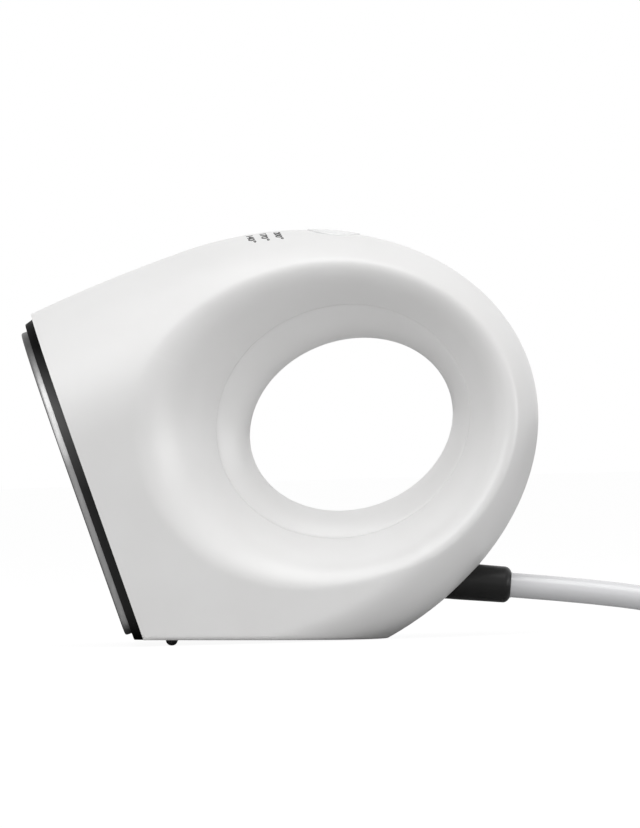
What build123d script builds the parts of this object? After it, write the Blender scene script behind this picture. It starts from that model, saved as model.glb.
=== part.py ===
"""Mini handheld heat press: a drop-shaped housing with a ring grip, a heated sole,
one button on the crown and a mains lead.  Millimetres, +Z up.

The press stands on two small front feet and on the heel of its base.  Its plan is
drawn on `side`: u runs from the sole to the ring grip, w runs across it towards the
crown, and the origin of (u, w) is the middle of the finger hole.
"""

from build123d import *
from math import acos, atan, atan2, cos, degrees, hypot, pi, radians, sin, sqrt, tan
import os

os.makedirs("parts", exist_ok=True)

# ---------------------------------------------------------------- driving sizes
# housing outline, as seen from the side
ring_reach = 77.8  # half length of the ellipse behind the ring grip
ring_rise = 59.1  # half height of the same ellipse
ring_back = 27.0  # its centre, ahead of the finger hole
nose_reach = 165.0  # half length of the flatter ellipse ahead of that centre
front_face = 71.6  # front opening, ahead of the finger hole
base_tilt = 19.5  # the grip line rises this much above the base, degrees
base_drop = 35.8  # grip line to base, at the front opening

# housing, across
half_width = 29.0
crown_depth = 38.0  # how far down the crown rolls before the sides are flat
rear_depth = 26.0  # the same at the back of the ring
under_depth = 13.0  # the same along the underside
wall = 2.2

# finger hole
throat_length = 27.9  # half length and half height at the middle
throat_height = 22.7
lip_centre = (-1.9, 1.5)
lip_length = 34.4
lip_height = 30.9
lip_half = 10.0  # half width of the grip ring
mouth_centre = (-0.8, 5.85)
mouth_length = 51.1
mouth_height = 44.25
ring_wall = 2.2
ring_fit = 0.05
funnel_growth = 1.3  # wall across the slope, as a share of the wall

# bezel and heat plate
bezel_step = 1.4  # the housing stands proud of the bezel
bezel_thick = 2.4
bezel_taper = 18.0
bezel_wall = 2.0
bezel_spigot = 10.0
bezel_fit = 0.10
rib_depth = 1.3
rib_width = 2.0
rib_offset = 4.0
plate_margin = 1.9  # bezel that shows round the heat plate
plate_thick = 2.3
plate_corner = 3.0
pad_inset = 4.5
pad_thick = 4.6
pad_fit = 0.4

# heater stack behind the plate
heater_thick = 1.2
heater_inset = 6.0
mica_thick = 0.5
press_thick = 1.2
shield_thick = 0.8
screw_radius = 1.5
head_wide = 1.9  # screw heads, as shares of the screw radius
head_high = 1.1
socket_share = 0.45
screw_fit = 0.2
stud_radius = 3.6
stud_side = 15.5
stud_low = -22.0
stud_high = 28.0

# button and control board
button_place = 12.8  # u of the button
button_radius = 7.3
button_proud = 0.5
button_fit = 0.10
button_skirt = 4.4
flange_radius = 8.6
flange_thick = 1.0
stem_radius = 2.0
button_travel = 0.4
board_depth = 12.0  # crown to board, under the button
board_thick = 1.6
board_front = 26.0
board_back = 8.0
board_width = 22.0
switch_side = 6.0
switch_height = 3.5
stem_rise = 1.5
switch_stem_radius = 1.75
stem_fit = 0.05
light_radius = 1.0
light_fit = 0.08
light_places = (-8.9, -5.3, -1.7)
post_radius = 2.6
pilot_radius = 1.2

# base, feet and power board
foot_radius = 1.6
foot_height = 1.6
foot_back = 7.4
foot_side = 20.0
foot_peg_radius = 1.0
terminal_x = 32.6  # lead's cores to the board's front edge
power_length = 36.0
power_width = 40.0
power_lift = 4.0

# lead
cord_radius = 3.4
cord_fall = 4.3  # fall of the lead below the base line, degrees
boot_end = (26.35, -55.4)
boot_radius = 5.0
boot_length = 27.0
boot_slim = 0.12  # how much slimmer its outer end is
collar_radius = 8.0
collar_depth = 9.0
collar_at = 14.5
boot_groove = 2.4
groove_depth = 1.6
boot_fit = 0.05
inner_cord_length = 46.0
clamp_at = 31.5
clamp_width = 5.0
clamp_half = 8.6
coil_radius = 35.0  # middle of the turns
coil_turns_wide = 3
coil_turns_high = 3
coil_centre = (150.0, 25.5)
plug_pin_radius = 2.4
plug_pin_gap = 19.0
plug_pin_length = 19.0
plug_width = 36.0
plug_height = 28.0
plug_length = 20.0
plug_neck = 18.0
plug_neck_radius = 6.0

# case screws
crown_screw_u = -52.0
crown_screw_w = 36.0
sole_screw_u = -54.5
sole_screw_w = -26.0
heel_screw_u = -14.0
heel_screw_w = -46.5
case_boss_radius = 3.4
case_hole_radius = 1.7
case_head_radius = 2.85
case_seat = 8.0  # mid-plane to the screw heads
case_screw_length = 20.0
clamp_screw_length = 10.0
board_screw_length = 5.0
plate_screw_length = 6.0

# small parts of the heater
tab_places = ((-8.0, -12.0), (8.0, -12.0))
tab_width = 5.0
tab_thick = 0.8
tab_reach = 3.0
sensor_w = 6.0
sensor_radius = 1.5
sensor_depth = 3.0
sensor_proud = 1.0
sensor_fit = 0.05
fuse_w = 14.0
fuse_radius = 2.0
fuse_length = 11.0

# small parts of the lead and the boards
saddle_gap = 1.0
saddle_depth = 9.0
clamp_gap = 0.8
clamp_thick = 5.0
boot_edge = 1.0
led_height = 0.8
foot_dome = 1.5
wire_radius = 0.9
wire_bend = 1.5
earth_bend = 2.0
core_bare = 5.0
terminal_height = 6.0
cable_radius = 1.1
cable_side = 4.0
cable_clear = 10.0
cable_bow = 4.0
sensor_wire_radius = 0.5
solder = 0.1  # wire ends stand this much clear of what they are soldered to
lead_row = 2.8
cable_row = 1.5
earth_side = 4.5
earth_w = -4.0
earth_lift = 17.0
tie_thick = 0.8
tie_width = 8.0
tie_slack = 0.4
tie_turn = -20.0  # place of the tie round the coil, degrees

# ---------------------------------------------------------------- rest attitude
slope = tan(radians(base_tilt))
base_level = base_drop + front_face * slope  # the base line is w = -(base_level + slope*u)
quad_a = 1 / ring_reach**2 + slope**2 / ring_rise**2
quad_b = ring_back / ring_reach**2 + base_level * slope / ring_rise**2
quad_c = ring_back**2 / ring_reach**2 + base_level**2 / ring_rise**2 - 1
heel_u = (-quad_b + sqrt(quad_b**2 - quad_a * quad_c)) / quad_a
heel_w = -(base_level + slope * heel_u)
base_length = (heel_u + front_face) / cos(radians(base_tilt))

rest_tilt = degrees(atan(foot_height / (base_length - foot_back)))
lean = radians(base_tilt - rest_tilt)

bezel_front = front_face + bezel_thick
sole_front = bezel_front + plate_thick
front_rise = ring_rise * sqrt(1 - ((front_face - ring_back) / nose_reach) ** 2)
bezel_crown = front_rise - bezel_step - bezel_thick * tan(radians(bezel_taper))
plate_top = bezel_crown - plate_margin
plate_foot = -base_drop + plate_margin + bezel_thick * slope
plate_inset = front_rise - plate_top

left_end = -sole_front * cos(lean) - plate_top * sin(lean)
right_end = -ring_back * cos(lean) + hypot(ring_reach * cos(lean), ring_rise * sin(lean))
hole_x = -(left_end + right_end) / 2
hole_z = -(heel_u * sin(lean) + heel_w * cos(lean))

along = Vector(cos(lean), 0, sin(lean))
across_up = Vector(-sin(lean), 0, cos(lean))
hole_middle = Vector(hole_x, 0, hole_z)


def base_w(u):
    """Height of the base line at u."""
    return -(base_level + slope * u)


def at(u, w, y=0):
    """Point of the press frame in space."""
    return hole_middle + along * u + across_up * w + Vector(0, y, 0)


side = Plane(origin=hole_middle, x_dir=along, z_dir=(0, -1, 0))
front = Plane(origin=hole_middle, x_dir=(0, 1, 0), z_dir=along)
base_dir = Vector(cos(radians(rest_tilt)), 0, -sin(radians(rest_tilt)))
base_up = Vector(sin(radians(rest_tilt)), 0, cos(radians(rest_tilt)))
base = Plane(origin=at(-front_face, -base_drop), x_dir=base_dir, z_dir=base_up)


def crown_frame(u):
    """Plane that touches the crown line at u, with z outwards."""
    w = ring_rise * sqrt(1 - ((u + ring_back) / ring_reach) ** 2)
    turn = atan2((u + ring_back) / ring_reach**2, w / ring_rise**2)
    outwards = along * sin(turn) + across_up * cos(turn)
    rearwards = along * cos(turn) - across_up * sin(turn)
    return Plane(origin=at(u, w), x_dir=rearwards, z_dir=outwards)


crown = crown_frame(button_place)
cord_turn = radians(base_tilt + cord_fall)
cord_out = along * cos(cord_turn) - across_up * sin(cord_turn)
cord_exit = at(*boot_end)
exit_plane = Plane(origin=cord_exit, x_dir=(0, 1, 0), z_dir=cord_out)
cord_axis = Axis(cord_exit, cord_out)
switch_top = board_depth - switch_height - stem_rise
switch_cavity = 0.6 * switch_height
core_spread = cord_radius / 2
core_ends = [
    exit_plane.from_local_coords((x, y, -inner_cord_length))
    for x, y in ((-core_spread, 0), (core_spread, 0), (0, core_spread))
]
core_turns = [end - cord_out * core_bare for end in core_ends]
power_front = base.to_local_coords(core_turns[0]).X - terminal_x


# ---------------------------------------------------------------- housing forms
form_steps = 4
form_overrun = 15.0


def drop_form(inset):
    """The whole drop shape before it is cut, pulled in by an inset all round."""
    nose_end = degrees(acos((front_face + form_overrun - ring_back) / nose_reach))
    with BuildPart() as form:
        for step in range(-form_steps, form_steps + 1):
            roll = pi / 2 * step / form_steps
            fall = 1 - cos(roll)
            reach = ring_reach - inset - (rear_depth - inset) * fall
            rise = ring_rise - inset - (crown_depth + under_depth - 2 * inset) / 2 * fall
            centre = (-ring_back, (under_depth - crown_depth) / 2 * fall)
            with BuildSketch(side.offset((half_width - inset) * sin(roll))):
                with BuildLine():
                    EllipticalCenterArc(centre, reach, rise, start_angle=-90, arc_size=180)
                    top = EllipticalCenterArc(
                        centre, nose_reach, rise, start_angle=90, arc_size=90 - nose_end
                    )
                    bottom = EllipticalCenterArc(
                        centre, nose_reach, rise, start_angle=180 + nose_end, arc_size=90 - nose_end
                    )
                    Line(top @ 1, bottom @ 0)
                make_face()
        loft()
    return form.part


def inside_cut(front_at, lift):
    """Everything behind a front plane and above the base plane."""
    far = 2 * ring_reach
    with BuildPart() as cut:
        with BuildSketch(side):
            with BuildLine():
                Polyline(
                    (-front_at, base_w(-front_at) + lift),
                    (far, base_w(far) + lift),
                    (far, far),
                    (-front_at, far),
                    close=True,
                )
            make_face()
        extrude(amount=2 * half_width, both=True)
    return cut.part


def funnel(grow, hand):
    """The flare of the finger hole on one side of the press."""
    with BuildPart() as flare:
        for share in (0, 1, 1.35):
            u = lip_centre[0] + (mouth_centre[0] - lip_centre[0]) * share
            w = lip_centre[1] + (mouth_centre[1] - lip_centre[1]) * share
            long_half = lip_length + (mouth_length - lip_length) * share + grow
            high_half = lip_height + (mouth_height - lip_height) * share + grow
            depth = lip_half + (half_width - lip_half) * share
            with BuildSketch(side.offset(hand * depth)):
                with Locations((u, w)):
                    Ellipse(long_half, high_half)
        loft(ruled=True)
    return flare.part


def press_form(inset, front_at):
    """The housing as one solid, with the finger hole through it."""
    with BuildPart() as form:
        add(drop_form(inset))
        add(inside_cut(front_at, inset / cos(radians(base_tilt))), mode=Mode.INTERSECT)
        for hand in (-1, 1):
            add(funnel(inset * funnel_growth, hand), mode=Mode.SUBTRACT)
        with BuildSketch(side):
            with Locations(lip_centre):
                Ellipse(lip_length + ring_wall + ring_fit, lip_height + ring_wall + ring_fit)
        extrude(amount=lip_half, both=True, mode=Mode.SUBTRACT)
    return form.part


def throat_form(grow):
    """The waisted opening inside the grip ring."""
    with BuildPart() as waist:
        for step in range(-form_steps, form_steps + 1):
            share = (step / form_steps) ** 2
            place = (lip_centre[0] * share, lip_centre[1] * share)
            long_half = throat_length + (lip_length - throat_length) * share + grow
            high_half = throat_height + (lip_height - throat_height) * share + grow
            with BuildSketch(side.offset((lip_half - ring_fit) * step / form_steps)):
                with Locations(place):
                    Ellipse(long_half, high_half)
        loft()
    return waist.part


def front_outline(inset, foot, corner=0.0):
    """Front section: straight sides under a half-elliptical crown, on the XY plane."""
    half = half_width - inset
    spring = front_rise - crown_depth
    with BuildSketch() as outline:
        with BuildLine():
            arch = EllipticalCenterArc(
                (0, spring), half, crown_depth - inset, start_angle=0, arc_size=180
            )
            Polyline(arch @ 1, (-half, foot), (half, foot), arch @ 0)
        make_face()
        if corner > 0:
            low = outline.vertices().group_by(Axis.Y)[0]
            fillet(low, corner)
    return outline.sketch


outer_form = press_form(0, front_face)
hollow_form = press_form(wall, front_face + 5)


# ---------------------------------------------------------------- housing shells
case_screw_places = [
    (crown_screw_u, crown_screw_w),
    (sole_screw_u, sole_screw_w),
    (heel_screw_u, heel_screw_w),
]
spigot_back = front_face - bezel_spigot
spigot_inset = wall + bezel_fit
spigot_foot = base_w(-front_face) + wall / cos(radians(base_tilt)) + bezel_fit
rib_back = front_face - rib_offset
power_top = wall + power_lift + board_thick
board_post_places = [(4.0 - board_front, hand * 7.2) for hand in (-1, 1)]
power_post_places = [
    (power_front + 3.5 + step * (power_length - 7.0), hand * (power_width / 2 - 3.5))
    for step in (0, 1)
    for hand in (-1, 1)
]
light_spots = [(crown.to_local_coords(crown_frame(u).origin).X, 0) for u in light_places]
clamp_screw_places = [(0, hand * (clamp_half - 2.4)) for hand in (-1, 1)]
clamp_plane = Plane(
    origin=exit_plane.from_local_coords((0, 0, -clamp_at)), x_dir=cord_out, z_dir=(0, -1, 0)
)
groove_plane = exit_plane.offset(-collar_at - collar_depth / 2 - boot_groove / 2)

with BuildPart() as housing:
    add(outer_form)
    add(hollow_form, mode=Mode.SUBTRACT)
    # bosses of the case screws
    with BuildSketch(side):
        with Locations(*case_screw_places):
            Circle(case_boss_radius)
    extrude(amount=half_width, both=True)
    # collar round the strain relief
    with BuildSketch(exit_plane.offset(-collar_at)):
        Circle(collar_radius)
    extrude(amount=-collar_depth)
    # saddle that the cord clamp is screwed to
    with BuildSketch(clamp_plane.offset(-saddle_gap)):
        with Locations((0, -clamp_half)):
            Rectangle(clamp_width, 4 * clamp_half)
    extrude(amount=-saddle_depth)
    # posts of the two boards
    with BuildSketch(crown.offset(-board_depth)):
        with Locations(*board_post_places):
            Circle(post_radius)
    extrude(amount=board_depth)
    with BuildSketch(base):
        with Locations(*power_post_places):
            Circle(post_radius)
    extrude(amount=wall + power_lift)
    add(outer_form, mode=Mode.INTERSECT)
    # bore and groove for the strain relief, bed for the sheathed end of the lead
    with BuildSketch(exit_plane.offset(1.0)):
        Circle(boot_radius + boot_fit)
    extrude(amount=-boot_length - 1.0, mode=Mode.SUBTRACT)
    with BuildSketch(groove_plane):
        Circle(boot_radius + groove_depth + boot_fit)
    extrude(amount=boot_groove, mode=Mode.SUBTRACT)
    with BuildSketch(exit_plane.offset(-boot_length)):
        Circle(cord_radius)
    extrude(amount=-inner_cord_length + boot_length, mode=Mode.SUBTRACT)
    # groove for the rib of the bezel
    with BuildSketch(front.offset(-rib_back)):
        add(front_outline(wall - rib_depth, spigot_foot - rib_depth - bezel_fit))
        add(front_outline(2 * wall, spigot_foot + wall), mode=Mode.SUBTRACT)
    extrude(amount=rib_width + bezel_fit, mode=Mode.SUBTRACT)
    # button hole and light holes in the crown
    with BuildSketch(crown.offset(2 * button_proud)):
        Circle(button_radius + button_fit)
    extrude(amount=-button_skirt - 2 * button_proud, mode=Mode.SUBTRACT)
    with BuildSketch(crown.offset(2 * button_proud)):
        with Locations(*light_spots):
            Circle(light_radius + light_fit)
    extrude(amount=-board_depth / 2 - 4 * button_proud, mode=Mode.SUBTRACT)
    # screw holes: the heads are on the +Y side, the threads on the other
    with BuildSketch(side.offset(-case_seat)):
        with Locations(*case_screw_places):
            Circle(case_head_radius + screw_fit)
    extrude(amount=-half_width, mode=Mode.SUBTRACT)
    with BuildSketch(side):
        with Locations(*case_screw_places):
            Circle(case_hole_radius)
    extrude(amount=-case_seat, mode=Mode.SUBTRACT)
    with BuildSketch(side):
        with Locations(*case_screw_places):
            Circle(screw_radius)
    extrude(amount=case_screw_length - case_seat, mode=Mode.SUBTRACT)
    with BuildSketch(clamp_plane.offset(-saddle_gap)):
        with Locations(*clamp_screw_places):
            Circle(pilot_radius)
    extrude(amount=-clamp_screw_length, mode=Mode.SUBTRACT)
    with BuildSketch(crown.offset(-board_depth)):
        with Locations(*board_post_places):
            Circle(pilot_radius)
    extrude(amount=board_screw_length, mode=Mode.SUBTRACT)
    with BuildSketch(base.offset(wall + power_lift)):
        with Locations(*power_post_places):
            Circle(pilot_radius)
    extrude(amount=-board_screw_length, mode=Mode.SUBTRACT)
    # holes for the pegs of the feet
    with BuildSketch(base):
        with Locations((foot_back, -foot_side), (foot_back, foot_side)):
            Circle(foot_peg_radius)
    extrude(amount=2 * wall, mode=Mode.SUBTRACT)

with BuildPart() as right_shell:
    add(housing.part)
    split(bisect_by=Plane.XZ, keep=Keep.TOP)
right_shell.part.label = "right_shell"
export_step(right_shell.part, "parts/right_shell.step")

with BuildPart() as left_shell:
    add(housing.part)
    split(bisect_by=Plane.XZ, keep=Keep.BOTTOM)
left_shell.part.label = "left_shell"
export_step(left_shell.part, "parts/left_shell.step")

with BuildPart() as grip_ring:
    add(throat_form(ring_wall))
    add(throat_form(0), mode=Mode.SUBTRACT)
grip_ring.part.label = "grip_ring"
export_step(grip_ring.part, "parts/grip_ring.step")

# ---------------------------------------------------------------- bezel and sole
pad_foot = plate_foot + pad_inset
with BuildPart() as bezel:
    with BuildSketch(front.offset(-front_face)):
        add(front_outline(bezel_step, base_w(-front_face)))
    with BuildSketch(front.offset(-bezel_front)):
        add(front_outline(plate_inset - plate_margin, base_w(-bezel_front)))
    loft(ruled=True)
    with BuildSketch(front.offset(-front_face)):
        add(front_outline(spigot_inset, spigot_foot))
    extrude(amount=bezel_spigot)
    with BuildSketch(front.offset(-rib_back + bezel_fit / 2)):
        add(front_outline(spigot_inset - rib_depth, spigot_foot - rib_depth))
    extrude(amount=rib_width)
    with BuildSketch(front.offset(-front_face)):
        add(front_outline(spigot_inset + bezel_wall, spigot_foot + bezel_wall))
    extrude(amount=bezel_spigot, mode=Mode.SUBTRACT)
    with BuildSketch(front.offset(-bezel_front)):
        add(front_outline(plate_inset + pad_inset - pad_fit, pad_foot - pad_fit, plate_corner))
    extrude(amount=bezel_thick, mode=Mode.SUBTRACT)
bezel.part.label = "bezel"
export_step(bezel.part, "parts/bezel.step")

pad_back = bezel_front - pad_thick
stud_places = [(hand * stud_side, w) for hand in (-1, 1) for w in (stud_low, stud_high)]
with BuildPart() as heat_plate:
    with BuildSketch(front.offset(-sole_front)):
        add(front_outline(plate_inset, plate_foot, plate_corner))
    extrude(amount=plate_thick)
    with BuildSketch(front.offset(-bezel_front)):
        add(front_outline(plate_inset + pad_inset, pad_foot, plate_corner))
    extrude(amount=pad_thick)
    with BuildSketch(front.offset(-pad_back)):
        with Locations(*stud_places):
            Circle(stud_radius)
    extrude(amount=pad_back - spigot_back)
    with BuildSketch(front.offset(-spigot_back)):
        with Locations(*stud_places):
            Circle(screw_radius)
    extrude(amount=-plate_screw_length + shield_thick, mode=Mode.SUBTRACT)
    with BuildSketch(front.offset(-pad_back)):
        with Locations((0, sensor_w)):
            Circle(sensor_radius + sensor_fit)
    extrude(amount=-sensor_depth, mode=Mode.SUBTRACT)
heat_plate.part.label = "heat_plate"
export_step(heat_plate.part, "parts/heat_plate.step")

# ---------------------------------------------------------------- heater stack
heater_back = pad_back - heater_thick
mica_back = heater_back - mica_thick
press_back = mica_back - press_thick


def layer(start, thick, inset):
    """A sheet of the heater stack, pierced for the studs, the sensor and the tabs."""
    with BuildPart() as sheet:
        with BuildSketch(front.offset(-start)):
            add(front_outline(plate_inset + inset, plate_foot + inset, plate_corner))
            with Locations(*stud_places):
                Circle(stud_radius + 0.4, mode=Mode.SUBTRACT)
            with Locations((0, sensor_w)):
                Circle(sensor_radius + 0.6, mode=Mode.SUBTRACT)
        extrude(amount=thick)
    return sheet.part


with BuildPart() as heating_element:
    add(layer(pad_back, heater_thick, heater_inset))
    with BuildSketch(front.offset(-heater_back)):
        with Locations(*tab_places):
            Rectangle(tab_width, tab_thick)
    extrude(amount=heater_back - spigot_back + tab_reach)
heating_element.part.label = "heating_element"
export_step(heating_element.part, "parts/heating_element.step")

stack = (
    ("mica_sheet", heater_back, mica_thick, pad_inset),
    ("pressure_plate", mica_back, press_thick, heater_inset),
    ("insulation_mat", press_back, press_back - spigot_back, pad_inset),
)
for name, start, thick, inset in stack:
    with BuildPart() as sheet:
        add(layer(start, thick, inset))
        with BuildSketch(front.offset(-start)):
            with Locations(*tab_places):
                Rectangle(tab_width + 0.6, tab_thick + 0.6)
        extrude(amount=thick, mode=Mode.SUBTRACT)
    sheet.part.label = name
    export_step(sheet.part, f"parts/{name}.step")

shield_back = spigot_back - shield_thick
with BuildPart() as heat_shield:
    with BuildSketch(front.offset(-spigot_back)):
        add(front_outline(spigot_inset + 0.3, spigot_foot + 0.3))
        with Locations(*stud_places):
            Circle(case_hole_radius, mode=Mode.SUBTRACT)
        with Locations(*tab_places):
            Rectangle(tab_width + 2.0, tab_thick + 2.0, mode=Mode.SUBTRACT)
        with Locations((0, sensor_w)):
            Circle(sensor_radius + 0.6, mode=Mode.SUBTRACT)
    extrude(amount=shield_thick)
heat_shield.part.label = "heat_shield"
export_step(heat_shield.part, "parts/heat_shield.step")

with BuildPart() as thermistor:
    with BuildSketch(front.offset(-pad_back - sensor_depth + sensor_fit)):
        with Locations((0, sensor_w)):
            Circle(sensor_radius)
    extrude(amount=pad_back - shield_back + sensor_depth - sensor_fit + sensor_proud)
thermistor.part.label = "thermistor"
export_step(thermistor.part, "parts/thermistor.step")

fuse_axis = Plane(
    origin=front.from_local_coords((-fuse_length / 2, fuse_w, -shield_back + fuse_radius)),
    x_dir=across_up,
    z_dir=(0, 1, 0),
)
with BuildPart() as thermal_fuse:
    with BuildSketch(fuse_axis):
        Circle(fuse_radius)
    extrude(amount=fuse_length)
thermal_fuse.part.label = "thermal_fuse"
export_step(thermal_fuse.part, "parts/thermal_fuse.step")

with BuildPart() as fuse_strap:
    with BuildSketch(fuse_axis.offset(fuse_length / 2 - 2.0)):
        Circle(fuse_radius + 0.5)
        with Locations((0, -fuse_radius / 2)):
            Rectangle(2 * fuse_radius + 1.0, fuse_radius)
        with Locations((0, -fuse_radius + 0.25)):
            Rectangle(4 * fuse_radius + 4.0, 0.5)
        Circle(fuse_radius, mode=Mode.SUBTRACT)
        with Locations((0, -fuse_radius / 2)):
            Rectangle(2 * fuse_radius, fuse_radius, mode=Mode.SUBTRACT)
        with Locations((0, -2 * fuse_radius)):
            Rectangle(6 * fuse_radius, 2 * fuse_radius, mode=Mode.SUBTRACT)
    extrude(amount=4.0)
fuse_strap.part.label = "fuse_strap"
export_step(fuse_strap.part, "parts/fuse_strap.step")


# ---------------------------------------------------------------- screws
def screws(seat, places, length, radius, head_radius, head_height):
    """Pan-head screws whose heads sit on the seat plane and point along its z."""
    with BuildPart() as group:
        with BuildSketch(seat):
            with Locations(*places):
                Circle(head_radius)
        extrude(amount=head_height)
        with BuildSketch(seat):
            with Locations(*places):
                Circle(radius)
        extrude(amount=-length)
        with BuildSketch(seat.offset(head_height)):
            with Locations(*places):
                RegularPolygon(head_radius * socket_share, 6)
        extrude(amount=-head_height * 0.6, mode=Mode.SUBTRACT)
    return group.part


plate_seat = Plane(
    origin=front.from_local_coords((0, 0, -shield_back)), x_dir=(0, 1, 0), z_dir=along
)
case_seat_plane = Plane(origin=at(0, 0, case_seat), x_dir=along, z_dir=(0, 1, 0))
clamp_seat = clamp_plane.offset(clamp_thick)
board_seat = Plane(
    origin=crown.from_local_coords((0, 0, -board_depth - board_thick)),
    x_dir=crown.x_dir,
    z_dir=-crown.z_dir,
)
power_seat = base.offset(power_top)
case_screw_mirror = [(u, -w) for u, w in case_screw_places]
board_screw_mirror = [(x, -y) for x, y in board_post_places]
screw_sets = (
    ("plate_screws", plate_seat, stud_places, plate_screw_length, screw_radius),
    ("case_screws", case_seat_plane, case_screw_mirror, case_screw_length, screw_radius),
    ("clamp_screws", clamp_seat, clamp_screw_places, clamp_screw_length, pilot_radius),
    ("board_screws", board_seat, board_screw_mirror, board_screw_length, pilot_radius),
    ("power_board_screws", power_seat, power_post_places, board_screw_length, pilot_radius),
)
for name, seat, places, length, radius in screw_sets:
    with BuildPart() as screw_group:
        add(screws(seat, places, length, radius, head_wide * radius, head_high * radius))
    screw_group.part.label = name
    export_step(screw_group.part, f"parts/{name}.step")

# ---------------------------------------------------------------- button and switch
with BuildPart() as button:
    with BuildSketch(crown.offset(2 * button_proud)):
        Circle(button_radius)
    extrude(amount=-button_skirt - 2 * button_proud)
    add(drop_form(-button_proud), mode=Mode.INTERSECT)
    with BuildSketch(crown.offset(-button_skirt)):
        Circle(flange_radius)
    extrude(amount=-flange_thick)
    with BuildSketch(crown.offset(-button_skirt - flange_thick)):
        Circle(stem_radius)
    extrude(amount=-(switch_top - button_skirt - flange_thick - stem_fit))
button.part.label = "button"
export_step(button.part, "parts/button.step")

with BuildPart() as switch_body:
    with BuildSketch(crown.offset(-board_depth)):
        Rectangle(switch_side, switch_side)
    extrude(amount=switch_height)
    with BuildSketch(crown.offset(-board_depth + switch_height)):
        Circle(switch_stem_radius + stem_fit)
    extrude(amount=-switch_cavity, mode=Mode.SUBTRACT)
switch_body.part.label = "switch_body"
export_step(switch_body.part, "parts/switch_body.step")

with BuildPart() as switch_stem:
    with BuildSketch(crown.offset(-switch_top)):
        Circle(switch_stem_radius)
    extrude(amount=-(stem_rise + switch_cavity - button_travel - 0.2))
switch_stem.part.label = "switch_stem"
export_step(switch_stem.part, "parts/switch_stem.step")

with BuildPart() as control_board:
    with BuildSketch(crown.offset(-board_depth - board_thick)):
        with Locations(((board_back - board_front) / 2, 0)):
            Rectangle(board_front + board_back, board_width)
        with Locations(*board_post_places):
            Circle(pilot_radius + screw_fit, mode=Mode.SUBTRACT)
    extrude(amount=board_thick)
control_board.part.label = "control_board"
export_step(control_board.part, "parts/control_board.step")

with BuildPart() as indicator_leds:
    with BuildSketch(crown.offset(-board_depth)):
        with Locations(*light_spots):
            Rectangle(1.2, 2.0)
    extrude(amount=led_height)
indicator_leds.part.label = "indicator_leds"
export_step(indicator_leds.part, "parts/indicator_leds.step")

with BuildPart() as light_guide:
    with BuildSketch(crown.offset(-board_depth + led_height)):
        with Locations(*light_spots):
            Circle(light_radius)
    extrude(amount=board_depth)
    with BuildSketch(crown.offset(-board_depth + led_height)):
        with Locations(light_spots[1]):
            Rectangle(light_spots[2][0] - light_spots[0][0] + 3.0, 3.0)
    extrude(amount=2.0)
    add(drop_form(0), mode=Mode.INTERSECT)
light_guide.part.label = "light_guide"
export_step(light_guide.part, "parts/light_guide.step")

with BuildPart() as control_chip:
    with BuildSketch(crown.offset(-board_depth - board_thick)):
        with Locations((-9.0, 0)):
            Rectangle(7.0, 7.0)
    extrude(amount=-1.2)
control_chip.part.label = "control_chip"
export_step(control_chip.part, "parts/control_chip.step")

# ---------------------------------------------------------------- power board
base_axis = Axis(base.origin, base_up)
with BuildPart() as power_board:
    with BuildSketch(base.offset(wall + power_lift)):
        with Locations((power_front + power_length / 2, 0)):
            Rectangle(power_length, power_width)
        with Locations(*power_post_places):
            Circle(pilot_radius + screw_fit, mode=Mode.SUBTRACT)
    extrude(amount=board_thick)
power_board.part.label = "power_board"
export_step(power_board.part, "parts/power_board.step")

block_parts = (
    ("film_capacitor", 12.5, 13.0, (13.0, 6.0), 11.0),
    ("relay", 12.5, -11.0, (13.0, 10.0), 12.0),
    ("terminal_block", terminal_x, 0.0, (7.0, 16.0), terminal_height),
    ("triac", 12.5, 0.0, (4.5, 10.0), 9.0),
)
for name, x, y, size, height in block_parts:
    with BuildPart() as block:
        with BuildSketch(base.offset(power_top)):
            with Locations((power_front + x, y)):
                Rectangle(*size)
        extrude(amount=height)
        top_edges = block.faces().sort_by(base_axis)[-1].edges()
        chamfer(top_edges, 0.5)
    block.part.label = name
    export_step(block.part, f"parts/{name}.step")

can_parts = (
    ("smoothing_capacitor", 24.0, 12.5, 3.5, 11.0),
    ("buzzer", 24.0, -12.9, 4.4, 6.0),
    ("tilt_sensor", 24.0, 0.0, 2.4, 7.0),
)
for name, x, y, radius, height in can_parts:
    with BuildPart() as can:
        with BuildSketch(base.offset(power_top)):
            with Locations((power_front + x, y)):
                Circle(radius)
        extrude(amount=height)
        fillet(can.faces().sort_by(base_axis)[-1].edges(), 0.4)
    can.part.label = name
    export_step(can.part, f"parts/{name}.step")

with BuildPart() as front_feet:
    for hand in (-1, 1):
        spot = base.from_local_coords((foot_back, hand * foot_side, 0))
        with BuildSketch(Plane(origin=spot, x_dir=(0, 1, 0), z_dir=-base_up)):
            Circle(foot_radius)
        extrude(amount=foot_height)
        with BuildSketch(Plane(origin=spot, x_dir=(0, 1, 0), z_dir=base_up)):
            Circle(foot_peg_radius)
        extrude(amount=wall)
    tips = front_feet.faces().group_by(base_axis)[0].edges()
    fillet(tips, foot_dome)
front_feet.part.label = "front_feet"
export_step(front_feet.part, "parts/front_feet.step")

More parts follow.
